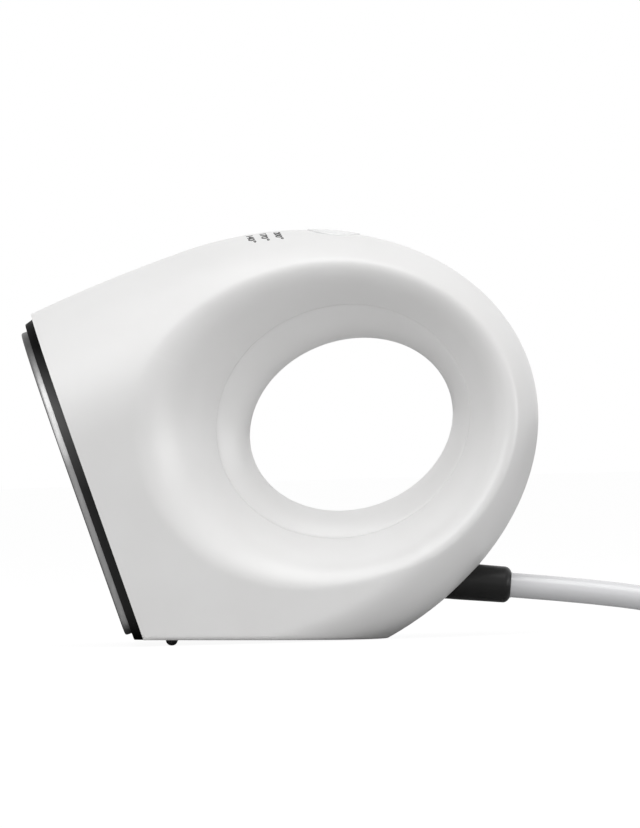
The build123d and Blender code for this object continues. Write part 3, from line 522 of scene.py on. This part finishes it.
def lead_curve(name, points, radius):
    """A round lead on one open smooth line."""
    data = bpy.data.curves.new(name, "CURVE")
    data.dimensions = "3D"
    line = data.splines.new("NURBS")
    line.points.add(len(points) - 1)
    for knot, point in zip(line.points, points):
        knot.co = (*(point * MM), 1.0)
    line.order_u = 3
    line.use_endpoint_u = True
    line.resolution_u = 6
    data.bevel_depth = radius
    data.bevel_resolution = 5
    data.use_fill_caps = True
    return data


lead_data = lead_curve("mains_lead", lead_points, CORD / 2 * MM)
mains_lead = bpy.data.objects.new("mains_lead", lead_data)
bpy.context.collection.objects.link(mains_lead)
lead_data.materials.append(cord_silver)
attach(mains_lead, "press")
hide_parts("power_cord", "cord_coil", "plug_lead")

# ---------------------------------------------------------------- floor
FLOOR_HALF = 6.0
FLOOR_GREY, FLOOR_ROUGH = 0.50, 0.9
# what the camera sees is mostly an even glow, so that the floor stays white round the soft shadow
FLOOR_GLOW, GLOW_SHARE = 1.17, 0.80
floor_bm = bmesh.new()
bmesh.ops.create_grid(floor_bm, x_segments=2, y_segments=2, size=FLOOR_HALF)
floor_mesh = bpy.data.meshes.new("floor")
floor_bm.to_mesh(floor_mesh)
floor_bm.free()
floor = bpy.data.objects.new("floor", floor_mesh)
bpy.context.collection.objects.link(floor)
floor_finish, floor_tree, floor_shader, _ = new_finish("pale_floor")
floor_shader.inputs["Base Color"].default_value = (*grey(FLOOR_GREY), 1.0)
floor_shader.inputs["Roughness"].default_value = FLOOR_ROUGH
floor_glow = floor_tree.nodes.new("ShaderNodeEmission")
floor_glow.inputs["Color"].default_value = PLAIN_WHITE
floor_glow.inputs["Strength"].default_value = FLOOR_GLOW
floor_ray = floor_tree.nodes.new("ShaderNodeLightPath")
floor_share = floor_tree.nodes.new("ShaderNodeMath")
floor_share.operation = "MULTIPLY"
floor_share.inputs[1].default_value = GLOW_SHARE
floor_mix = floor_tree.nodes.new("ShaderNodeMixShader")
floor_out = next(n for n in floor_tree.nodes if n.type == "OUTPUT_MATERIAL")
floor_tree.links.new(floor_ray.outputs["Is Camera Ray"], floor_share.inputs[0])
for socket, source in zip(floor_mix.inputs, (floor_share, floor_shader, floor_glow)):
    floor_tree.links.new(source.outputs[0], socket)
floor_tree.links.new(floor_mix.outputs[0], floor_out.inputs[0])
floor_mesh.materials.append(floor_finish)

# ---------------------------------------------------------------- housing shells
def form_reach(angle, fall):
    """Distance from the finger hole's middle to the outer form at one level of its roll."""
    c, s = cos(angle), sin(angle)
    rise = RING_RISE - ROLL_RISE * fall
    drop = ROLL_SINK * fall
    for reach, ahead in ((RING_REACH - REAR_DEPTH * fall, False), (NOSE_REACH, True)):
        qa = (c / reach) ** 2 + (s / rise) ** 2
        qb = RING_BACK * c / reach**2 + drop * s / rise**2
        qc = (RING_BACK / reach) ** 2 + (drop / rise) ** 2 - 1
        length = (-qb + sqrt(max(0.0, qb * qb - qa * qc))) / qa
        if (length * c < -RING_BACK) == ahead:
            return length
    return length


def flare_reach(angle, share):
    """Distance from the finger hole's middle to the flare at a share of its depth."""
    c, s = cos(angle), sin(angle)
    u = LIP_CENTRE[0] + (MOUTH_CENTRE[0] - LIP_CENTRE[0]) * share
    w = LIP_CENTRE[1] + (MOUTH_CENTRE[1] - LIP_CENTRE[1]) * share
    a = LIP_LENGTH + (MOUTH_LENGTH - LIP_LENGTH) * share
    b = LIP_HEIGHT + (MOUTH_HEIGHT - LIP_HEIGHT) * share
    qa = (c / a) ** 2 + (s / b) ** 2
    qb = -(u * c / a**2 + w * s / b**2)
    qc = (u / a) ** 2 + (w / b) ** 2 - 1
    return (-qb + sqrt(qb * qb - qa * qc)) / qa


BEYOND = 1e6


def cut_reach(angle):
    """Distance to the front opening or the base, whichever is nearer, and which it is."""
    c, s = cos(angle), sin(angle)
    found = [(BEYOND, "none")]
    if c < 0:
        found.append((-FRONT_FACE / c, "front"))
    if s + SLOPE * c < 0:
        found.append((-BASE_LEVEL / (s + SLOPE * c), "base"))
    return min(found)


HALVINGS = 40


def crossing(test, low, high):
    """Where a falling test passes zero."""
    for _ in range(HALVINGS):
        middle = (low + high) / 2
        if test(middle) > 0:
            low = middle
        else:
            high = middle
    return (low + high) / 2


LEAST_SPAN = 1e-9


def spread_along(line, count, start=0.0, stop=None):
    """Points at equal steps along a line of (reach, depth) points."""
    lengths = [0.0]
    for a, b in zip(line, line[1:]):
        lengths.append(lengths[-1] + sqrt((b[0] - a[0]) ** 2 + (b[1] - a[1]) ** 2))
    stop = lengths[-1] if stop is None else stop
    points = []
    place = 0
    for step in range(count):
        target = start + (stop - start) * step / (count - 1)
        while place < len(lengths) - 2 and lengths[place + 1] < target:
            place += 1
        span = lengths[place + 1] - lengths[place]
        share = (target - lengths[place]) / span if span > LEAST_SPAN else 0.0
        a, b = line[place], line[place + 1]
        points.append((a[0] + (b[0] - a[0]) * share, a[1] + (b[1] - a[1]) * share))
    return points, lengths[-1]


LEAST_ARC, FLAT_HOLD = 0.01, 0.67


def rounded(before, corner, after, steps, arc):
    """Inside points of a soft corner between two places on its sides."""
    hold = 4 / 3 * tan(arc / 4) / tan(arc / 2) if arc > LEAST_ARC else FLAT_HOLD
    p1 = [b + (k - b) * hold for b, k in zip(before, corner)]
    p2 = [a + (k - a) * hold for a, k in zip(after, corner)]
    points = []
    for step in range(1, steps):
        t = step / steps
        points.append(tuple(
            before[i] * (1 - t) ** 3 + 3 * p1[i] * t * (1 - t) ** 2
            + 3 * p2[i] * t * t * (1 - t) + after[i] * t**3
            for i in range(2)
        ))
    return points


BASE_ROWS, EDGE_ROWS, FORM_ROWS, CREST_ROWS, FLARE_ROWS = 8, 5, 26, 9, 12
ROLL_STEPS, FLAT_CREST_STEPS = 48, 12
BASE_EDGE, EDGE_SHARE = 1.3, 0.4
# the crest is rounder towards the front, and less so where it turns sharply
CREST_SOFT, CREST_EASE = 5.0, 8.0
WIDEST_TURN, SHARP_TURN, TURN_LOSS, LEAST_TURN = 1.9, 1.2, 0.6, 0.55
SOFT_SHARE, SOFT_LINE_SHARE = 0.36, 0.6
INWARD, INWARD_SHARE = 1.8, 0.62
# the flare ends in a small lip at the grip ring
LIP_RISE, LEAST_FLARE = 0.35, 0.4
LIP_ENDS = ((0.12, 0.12), (0.40, 0.02))


def crest_softness(arc, angle, length):
    """How far the rounding of the crest reaches over its outer side."""
    bend = CREST_SOFT + CREST_EASE * max(0.0, -cos(angle)) ** 2
    kept = 1.0 if arc < SHARP_TURN else max(LEAST_TURN, 1 - TURN_LOSS * (arc - SHARP_TURN))
    return min(bend * tan(min(arc, WIDEST_TURN) / 2) * kept, SOFT_SHARE * length)


def outer_line(angle, start, first):
    """Points from the mid-plane or an opening's edge over the crown to the crest."""
    def gap(roll):
        depth = HALF_WIDTH * sin(roll)
        share = (depth - LIP_HALF) / (HALF_WIDTH - LIP_HALF)
        return form_reach(angle, 1 - cos(roll)) - flare_reach(angle, max(0.0, share))

    line = [first]
    flat_crest = gap(pi / 2) > 0
    last = pi / 2 if flat_crest else crossing(gap, max(start, asin(LIP_HALF / HALF_WIDTH)), pi / 2)
    for step in range(1, ROLL_STEPS + 1):
        roll = start + (last - start) * step / ROLL_STEPS
        if last > start:
            line.append((form_reach(angle, 1 - cos(roll)), HALF_WIDTH * sin(roll)))
    if flat_crest:
        near = line[-1][0]
        far = flare_reach(angle, 1.0)
        line += [
            (near + (far - near) * step / FLAT_CREST_STEPS, HALF_WIDTH)
            for step in range(1, FLAT_CREST_STEPS + 1)
        ]
    return line


def section(angle):
    """Points (reach, depth) from the mid-plane over the crown and down the flare."""
    limit, kind = cut_reach(angle)
    start = 0.0
    if form_reach(angle, 0.0) > limit:
        if form_reach(angle, 1.0) >= limit:
            start = pi / 2
        else:
            start = crossing(lambda r: form_reach(angle, 1 - cos(r)) - limit, 0.0, pi / 2)
    else:
        limit, kind = form_reach(angle, 0.0), "form"
    first = (limit, HALF_WIDTH * sin(start))

    outer = outer_line(angle, start, first)
    crest = outer[-1]
    lip = (flare_reach(angle, 0.0), LIP_HALF)
    back = Vector(outer[-1]) - Vector(outer[-4])
    down = Vector(lip) - Vector(crest)
    arc = back.angle(down)
    soft = crest_softness(arc, angle, down.length)
    inward = min(INWARD * soft, INWARD_SHARE * down.length)

    rows = []
    line_length = spread_along(outer, 2)[1]
    edge = 0.0
    if kind == "base":
        edge = min(BASE_EDGE, EDGE_SHARE * first[1])
        rows += [(limit, (first[1] - edge) * step / (BASE_ROWS - 1)) for step in range(BASE_ROWS)]
        leave = spread_along(outer, 2, edge, line_length)[0][0]
        turn = (Vector(leave) - Vector(first)).angle(Vector((0, 1))) if edge > 0 else 0.0
        rows += rounded(rows[-1], first, leave, EDGE_ROWS + 1, turn)
    else:
        rows += [first] * (BASE_ROWS + EDGE_ROWS)
    soft = min(soft, SOFT_LINE_SHARE * (line_length - edge))
    form_line, _ = spread_along(outer, FORM_ROWS, edge, line_length - soft)
    rows += form_line
    meet = Vector(crest) + down.normalized() * inward
    rows += rounded(form_line[-1], crest, meet, CREST_ROWS + 1, arc)
    floor_depth = LIP_HALF + LIP_RISE
    stop = lip[0] + (meet[0] - lip[0]) * LIP_RISE / max(LEAST_FLARE, meet[1] - LIP_HALF)
    for step in range(FLARE_ROWS):
        share = step / (FLARE_ROWS - 1)
        rows.append((meet[0] + (stop - meet[0]) * share, meet[1] + (floor_depth - meet[1]) * share))
    rows += [(lip[0] + out, LIP_HALF + up) for out, up in LIP_ENDS]
    return rows


COLUMN_STEP, SAME_COLUMN = 2.1, 1e-5
HEEL_FROM, HEEL_TO = radians(-150), radians(-60)
NOSE_GAP = radians(0.9)
ARCH_COLUMNS, SIDE_COLUMNS, ROLL_COLUMNS, FLAT_COLUMNS = 24, 22, 26, 12
REARMOST_BASE = -5.0


def meets_base(fall):
    """Rearmost u where one level of the roll crosses the base line."""
    def over(u):
        under = -ROLL_SINK * fall - (RING_RISE - ROLL_RISE * fall) * height_share(u, fall)
        return base_w(u) - under
    return crossing(over, -FRONT_FACE, REARMOST_BASE)


def columns():
    """Directions round the finger hole, closer together where the outline turns."""
    found = []
    nose_share = sqrt(1 - ((FRONT_FACE - RING_BACK) / NOSE_REACH) ** 2)
    # crown and ring, from the heel round the back to the front opening
    angle = crossing(lambda a: form_reach(a, 0.0) - cut_reach(a)[0], HEEL_FROM, HEEL_TO)
    front_top = atan2(RING_RISE * nose_share, -FRONT_FACE)
    while angle < front_top - NOSE_GAP:
        found.append(angle)
        angle += COLUMN_STEP / form_reach(angle, 0.0)
    # arch and straight side of the front opening
    for step in range(ARCH_COLUMNS + 1):
        fall = 1 - cos(pi / 2 * step / ARCH_COLUMNS)
        w = (RING_RISE - ROLL_RISE * fall) * nose_share - ROLL_SINK * fall
        found.append(atan2(w, -FRONT_FACE))
    low = (RING_RISE - ROLL_RISE) * nose_share - ROLL_SINK
    for step in range(1, SIDE_COLUMNS + 1):
        w = low + (-BASE_DROP - low) * step / SIDE_COLUMNS
        found.append(atan2(w, -FRONT_FACE))
    # base, from the front to where the underside starts to roll, then to the heel
    rolling = [meets_base(1 - cos(pi / 2 * (1 - step / ROLL_COLUMNS))) for step in range(ROLL_COLUMNS)]
    flat_run = rolling[0] + FRONT_FACE
    flat = [-FRONT_FACE + flat_run * step / FLAT_COLUMNS for step in range(1, FLAT_COLUMNS)]
    found += [atan2(base_w(u), u) for u in flat + rolling]
    turned = sorted(a % (2 * pi) for a in found)
    kept = [turned[0]]
    for angle in turned[1:]:
        if angle - kept[-1] > SAME_COLUMN:
            kept.append(angle)
    return kept


DIRECTIONS = columns()
SECTIONS = [section(angle) for angle in DIRECTIONS]
SEAM_HALF, WELD = 0.03, 0.00002


def half_shell(name, hand):
    """One half of the housing: skin, wall, opening edges and lip."""
    bm = bmesh.new()
    rows = []
    for level in zip(*SECTIONS):
        rows.append([
            at(reach * cos(angle), reach * sin(angle), hand * max(depth, SEAM_HALF))
            for angle, (reach, depth) in zip(DIRECTIONS, level)
        ])
    skin(bm, rows)
    bmesh.ops.remove_doubles(bm, verts=bm.verts, dist=WELD)
    bmesh.ops.recalc_face_normals(bm, faces=bm.faces)
    side = max(bm.faces, key=lambda f: hand * f.calc_center_median().y)
    if side.normal.y * hand < 0:
        bmesh.ops.reverse_faces(bm, faces=bm.faces)
    mesh = bpy.data.meshes.new(name)
    bm.to_mesh(mesh)
    bm.free()
    mesh.materials.append(housing_white)
    piece = bpy.data.objects.new(name, mesh)
    bpy.context.collection.objects.link(piece)
    wall = piece.modifiers.new("wall", "SOLIDIFY")
    wall.thickness = WALL * MM
    wall.offset = -1.0
    wall.use_even_offset = True
    wall.thickness_clamp = 1.0
    settle(piece, SMOOTH_TO)
    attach(piece, "press")
    return piece


near_shell = half_shell("near_shell", -1)
far_shell = half_shell("far_shell", 1)
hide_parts("right_shell")
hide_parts("left_shell")

# ---------------------------------------------------------------- grip ring
RING_POINTS = 144
# the liner's inner face, back and rim: steps from the mid-plane, depth as a share of the lip's, and how far its
# rows lie outside the waist
WAIST_STEPS, WAIST_SHARE = 16, 0.992
BACK_STEPS, BACK_SHARE, BACK_GROW = 8, 0.99, 2.15
RIM_SHARE, RIM_GROWS = 0.998, (0.20, 2.0)


def waist(depth, grow):
    """One ellipse of the finger hole's waist at a depth from the mid-plane."""
    share = (depth / LIP_HALF) ** 2
    u = LIP_CENTRE[0] * share
    w = LIP_CENTRE[1] * share
    a = THROAT_LENGTH + (LIP_LENGTH - THROAT_LENGTH) * share + grow
    b = THROAT_HEIGHT + (LIP_HEIGHT - THROAT_HEIGHT) * share + grow
    return [at(u + a * c, w + b * s, depth) for c, s in circle(RING_POINTS)]


ring_bm = bmesh.new()
rim = LIP_HALF * RIM_SHARE
ring_rows = [
    waist(LIP_HALF * (step / WAIST_STEPS - 1) * WAIST_SHARE, 0.0) for step in range(2 * WAIST_STEPS + 1)
]
ring_rows += [waist(rim, grow) for grow in RIM_GROWS]
ring_rows += [
    waist(LIP_HALF * (1 - step / BACK_STEPS) * BACK_SHARE, BACK_GROW) for step in range(2 * BACK_STEPS + 1)
]
ring_rows += [waist(-rim, grow) for grow in reversed(RIM_GROWS)]
skin(ring_bm, ring_rows, closed=True)
liner = finished("grip_liner", ring_bm, housing_white)
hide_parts("grip_ring")

# ---------------------------------------------------------------- boot of the lead
BOOT_POINTS = 64
BOOT_RADIUS, BOOT_SLIM, BOOT_DEPTH, BOOT_ROUND = 5.0, 0.12, 26.0, 2.2
BOOT_CORE, BOOT_SHOULDER = 3.0, 14.0
END_STEPS, END_DEPTH, END_TURN = 10, 3.0, 1.03
# the rows inside the end, against the lead: distance back, radius
BOOT_BORE = ((0.50, 3.38), (1.4, 3.32))
EDGE_TO = 50.0
Y_AXIS = Vector((0, 1, 0))
boot_side = ALONG * sin(LEAD_FALL) + ACROSS * cos(LEAD_FALL)


def boot_ring(back, radius):
    """A ring of the boot at a distance back from its outer end."""
    return [
        EXIT + (boot_side * c + Y_AXIS * s) * radius * MM - OUT * back * MM for c, s in circle(BOOT_POINTS)
    ]


boot_bm = bmesh.new()
end_radius = BOOT_RADIUS - BOOT_SLIM
boot_rows = [
    boot_ring(BOOT_DEPTH, BOOT_CORE), boot_ring(BOOT_DEPTH, BOOT_RADIUS), boot_ring(BOOT_SHOULDER, BOOT_RADIUS),
]
for step in range(END_STEPS + 1):
    lean_in = END_TURN * step / END_STEPS
    boot_rows.append(boot_ring(BOOT_ROUND * (1 - sin(lean_in)), end_radius - END_DEPTH * (1 - cos(lean_in))))
boot_rows += [boot_ring(back, radius) for back, radius in BOOT_BORE]
skin(boot_bm, boot_rows, closed=True)
lead_boot = finished("lead_boot", boot_bm, boot_black, sharp=EDGE_TO)
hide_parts("strain_relief")

# ---------------------------------------------------------------- front frame and sole
ARCH_FOOT, ARCH_RISE = 19.8492, 37.0508
ARCH_STEPS, LEG_STEPS, CORNER_STEPS, FOOT_STEPS = 64, 16, 6, 8
BEZEL_CORNER = 1.6
# the frame's rows: distance ahead of the finger hole, inset from the housing's outline, lift over the base line
BEZEL_PROFILE = (
    (71.45, 1.40, 0.05), (72.6, 1.76, 0.05), (73.82, 2.13, 0.05), (73.95, 2.20, 0.10), (74.0, 2.34, 0.24),
    (74.0, 3.3, 1.2), (74.0, 4.6, 2.4), (73.8, 4.75, 2.6), (71.4, 4.75, 2.6), (71.2, 4.6, 2.4), (71.2, 1.6, 0.3),
)
SOLE_INSET, SOLE_FOOT, SOLE_CORNER = 4.0798, -33.0501, 3.0
# the sole's rows: distance ahead of the finger hole, inset from the sole's own outline
SOLE_PROFILE = (
    (73.2, 0.0), (74.4, 0.0), (75.2, 0.0), (75.5, 0.05), (75.7, 0.16), (75.84, 0.34), (75.9, 0.62),
    (75.9, 3.0), (75.9, 9.0), (75.9, 16.0), (75.9, 22.0),
)
COATED_FROM = 75.69
SOLE_EDGE_TO = 60.0


def arch(u, inset, foot, corner):
    """Outline of the front opening, moved in by inset, closed below at foot."""
    half = HALF_WIDTH - inset
    rise = ARCH_RISE - inset
    low = foot + corner
    leg = low - ARCH_FOOT
    turn = [pi / 2 * k / CORNER_STEPS for k in range(CORNER_STEPS + 1)]
    points = [
        (half * cos(pi * k / ARCH_STEPS), ARCH_FOOT + rise * sin(pi * k / ARCH_STEPS))
        for k in range(ARCH_STEPS + 1)
    ]
    points += [(-half, ARCH_FOOT + leg * k / LEG_STEPS) for k in range(1, LEG_STEPS)]
    points += [(-half + corner * (1 - cos(a)), low - corner * sin(a)) for a in turn]
    points += [((-half + corner) * (1 - k / FOOT_STEPS), foot) for k in range(1, 2 * FOOT_STEPS)]
    points += [(half - corner * (1 - sin(a)), low - corner * cos(a)) for a in turn]
    points += [(half, low - leg * k / LEG_STEPS) for k in range(1, LEG_STEPS)]
    return [at(u, w, y) for y, w in points]


def capped_skin(bm, rows):
    """A surface through rows of points, closed by a face at each end."""
    for loop in skin(bm, rows):
        bmesh.ops.contextual_create(bm, geom=loop)


bezel_bm = bmesh.new()
bezel_rows = [arch(-u, inset, base_w(-u) + lift, BEZEL_CORNER) for u, inset, lift in BEZEL_PROFILE]
skin(bezel_bm, bezel_rows, closed=True)
front_frame = finished("front_frame", bezel_bm, bezel_black, sharp=EDGE_TO)
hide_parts("bezel")

sole_bm = bmesh.new()
capped_skin(sole_bm, [
    arch(-u, SOLE_INSET + inset, SOLE_FOOT + inset, SOLE_CORNER) for u, inset in SOLE_PROFILE
])
press_sole = finished("press_sole", sole_bm, plate_metal, sharp=SOLE_EDGE_TO)
press_sole.data.materials.append(sole_dark)
for face in press_sole.data.polygons:
    centre = face.center / MM - HOLE
    if -centre.dot(ALONG) > COATED_FROM:
        face.material_index = 1
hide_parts("heat_plate")

# ---------------------------------------------------------------- holes for the key and the lights on the crown
KEY = Vector((15.7103, 0.0, 110.155)) * MM
KEY_X = Vector((0.99374, 0.0, -0.111713))
KEY_UP = Vector((0.111713, 0.0, 0.99374))
KEY_RADIUS, KEY_PROUD, KEY_POINTS, KEY_EDGE_TO = 7.15, 0.35, 72, 55.0
# the key's rows: radius, depth below the key's top
KEY_PROFILE = (
    (KEY_RADIUS, 2.8), (KEY_RADIUS, 0.45), (KEY_RADIUS - 0.06, 0.22), (KEY_RADIUS - 0.22, 0.07),
    (KEY_RADIUS - 0.5, 0.0), (KEY_RADIUS - 1.6, 0.0), (4.0, 0.0), (2.0, 0.0), (0.4, 0.0),
)
CUTTER_POINTS = 64
KEY_HOLE, LIGHT_HOLE = 7.4, 1.08
HOLE_DEPTH, HOLE_ABOVE = 9.0, 6.0
LIGHT_SPOTS = (-22.53, -18.95, -15.32)


def crown_point(u, y, proud):
    """Point on the crown over (u, y), raised by proud along the key's axis."""
    return at(u, crown_w(u, y), y) + KEY_UP * proud * MM


def cutter(name, place, axis, radius, depth, above):
    """A round cutter along an axis."""
    bm = bmesh.new()
    bmesh.ops.create_cone(
        bm, cap_ends=True, segments=CUTTER_POINTS, radius1=radius * MM, radius2=radius * MM,
        depth=(depth + above) * MM,
    )
    turn = axis.to_track_quat("Z", "Y").to_matrix().to_4x4()
    middle = place + axis * (above - depth) / 2 * MM
    bmesh.ops.transform(bm, matrix=Matrix.Translation(middle) @ turn, verts=bm.verts)
    mesh = bpy.data.meshes.new(name)
    bm.to_mesh(mesh)
    bm.free()
    tool = bpy.data.objects.new(name, mesh)
    bpy.context.collection.objects.link(tool)
    return tool


def cut(piece, tools):
    """Takes the cutters out of the piece."""
    for tool in tools:
        step = piece.modifiers.new(tool.name, "BOOLEAN")
        step.operation = "DIFFERENCE"
        step.solver = "EXACT"
        step.object = tool
    settle(piece, SMOOTH_TO)


def put_away(tools):
    """Removes cutters that have done their work."""
    for tool in tools:
        bpy.data.objects.remove(tool)


crown_cutters = [cutter("key_hole", KEY, KEY_UP, KEY_HOLE, HOLE_DEPTH, HOLE_ABOVE)]
for spot in LIGHT_SPOTS:
    place = KEY + KEY_X * spot * MM
    crown_cutters.append(cutter("light_hole", place, KEY_UP, LIGHT_HOLE, HOLE_DEPTH, HOLE_ABOVE))
for shell in (near_shell, far_shell):
    cut(shell, crown_cutters)
put_away(crown_cutters)

# ---------------------------------------------------------------- wells of the case screws, in the far shell
WELL_PLACES = ((-52.0, 36.0), (-54.5, -26.0), (-14.0, -46.5))
WELL_RADIUS, WELL_WALL, WELL_FLOOR = 3.05, 0.45, 8.0
WELL_POINTS, WELL_SHY, WELL_REACH, WELL_EDGE_TO = 48, 0.9, 30.0, 40.0
# the rows of a well's wall: radius, whether it lies at the mouth or on the floor
WELL_PROFILE = (
    (WELL_RADIUS, False), (WELL_RADIUS, True), (WELL_RADIUS + WELL_WALL, True), (WELL_RADIUS + WELL_WALL, False),
)


def skin_depth(u, w):
    """Distance of the outer form from the mid-plane over a place on its side."""
    angle, reach = atan2(w, u), sqrt(u * u + w * w)
    if form_reach(angle, 1.0) >= reach:
        return HALF_WIDTH
    return HALF_WIDTH * sin(crossing(lambda roll: form_reach(angle, 1 - cos(roll)) - reach, 0.0, pi / 2))


def well_row(u, w, radius, mouth):
    """One ring of a well's wall, on its floor or just under the skin."""
    spots = [(u + radius * c, w + radius * s) for c, s in circle(WELL_POINTS)]
    return [at(a, b, skin_depth(a, b) - WELL_SHY if mouth else WELL_FLOOR) for a, b in spots]


well_cutters = [
    cutter("well", at(u, w, WELL_FLOOR), Y_AXIS, WELL_RADIUS, 0.0, WELL_REACH) for u, w in WELL_PLACES
]
cut(far_shell, well_cutters)
put_away(well_cutters)
wells_bm = bmesh.new()
for u, w in WELL_PLACES:
    skin(wells_bm, [well_row(u, w, radius, mouth) for radius, mouth in WELL_PROFILE], closed=True)
screw_wells = finished("screw_wells", wells_bm, housing_white, sharp=WELL_EDGE_TO)

# ---------------------------------------------------------------- the key itself
key_bm = bmesh.new()
key_rows = []
for radius, sink in KEY_PROFILE:
    row = []
    for c, s in circle(KEY_POINTS):
        spot = KEY + (KEY_X * c + Y_AXIS * s) * radius * MM
        u = (spot / MM - HOLE).dot(ALONG)
        row.append(crown_point(u, spot.y / MM, KEY_PROUD - sink))
    key_rows.append(row)
capped_skin(key_bm, key_rows)
round_key = finished("round_key", key_bm, button_white, body="button_cap", sharp=KEY_EDGE_TO)
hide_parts("button")

# ---------------------------------------------------------------- numerals beside the lights
FIGURE_HEIGHT, FIGURE_LEAN = 1.85, 0.35
FIGURE_BOLD, FIGURE_BODY = 0.012, 0.01
FIGURE_PROUD, FIGURE_SUNK = 0.07, -0.02
LONGEST_EDGES = (0.3, 0.15)
FIGURE_EDGE_TO = 60.0
# figures, u of their foot, distance of their first and of their last edge from the mid-plane
FIGURES = (("140", -9.9, 4.8, 10.5), ("170", -6.35, 4.6, 10.4), ("200", -2.65, 4.5, 10.3))


def numeral(name, words, u, near, far):
    """Printed figures wrapped on the crown, tops towards the key."""
    data = bpy.data.curves.new(name, "FONT")
    data.body = words
    data.size = 1.0
    data.resolution_u = 4
    data.offset = FIGURE_BOLD
    data.extrude = FIGURE_BODY
    draft = bpy.data.objects.new(name, data)
    bpy.context.collection.objects.link(draft)
    bpy.context.view_layer.update()
    ready = bpy.context.evaluated_depsgraph_get()
    mesh = bpy.data.meshes.new_from_object(draft.evaluated_get(ready))
    bpy.data.objects.remove(draft)
    bm = bmesh.new()
    bm.from_mesh(mesh)
    low = Vector((min(v.co.x for v in bm.verts), min(v.co.y for v in bm.verts)))
    high = Vector((max(v.co.x for v in bm.verts), max(v.co.y for v in bm.verts)))
    bmesh.ops.triangulate(bm, faces=bm.faces)
    for longest in LONGEST_EDGES:
        bmesh.ops.subdivide_edges(bm, edges=[e for e in bm.edges if e.calc_length() > longest], cuts=1)
    for vert in bm.verts:
        run = (vert.co.x - low.x) / (high.x - low.x)
        rise = (vert.co.y - low.y) / (high.y - low.y)
        y = -(near + (far - near) * run)
        proud = FIGURE_PROUD if vert.co.z > 0 else FIGURE_SUNK
        vert.co = crown_point(u + FIGURE_HEIGHT * rise + FIGURE_LEAN * run, y, proud)
    piece = finished(name, bm, numeral_ink, sharp=FIGURE_EDGE_TO)


for figures, u, near, far in FIGURES:
    numeral(f"figures_{figures}", f"{figures}\u00b0", u, near, far)
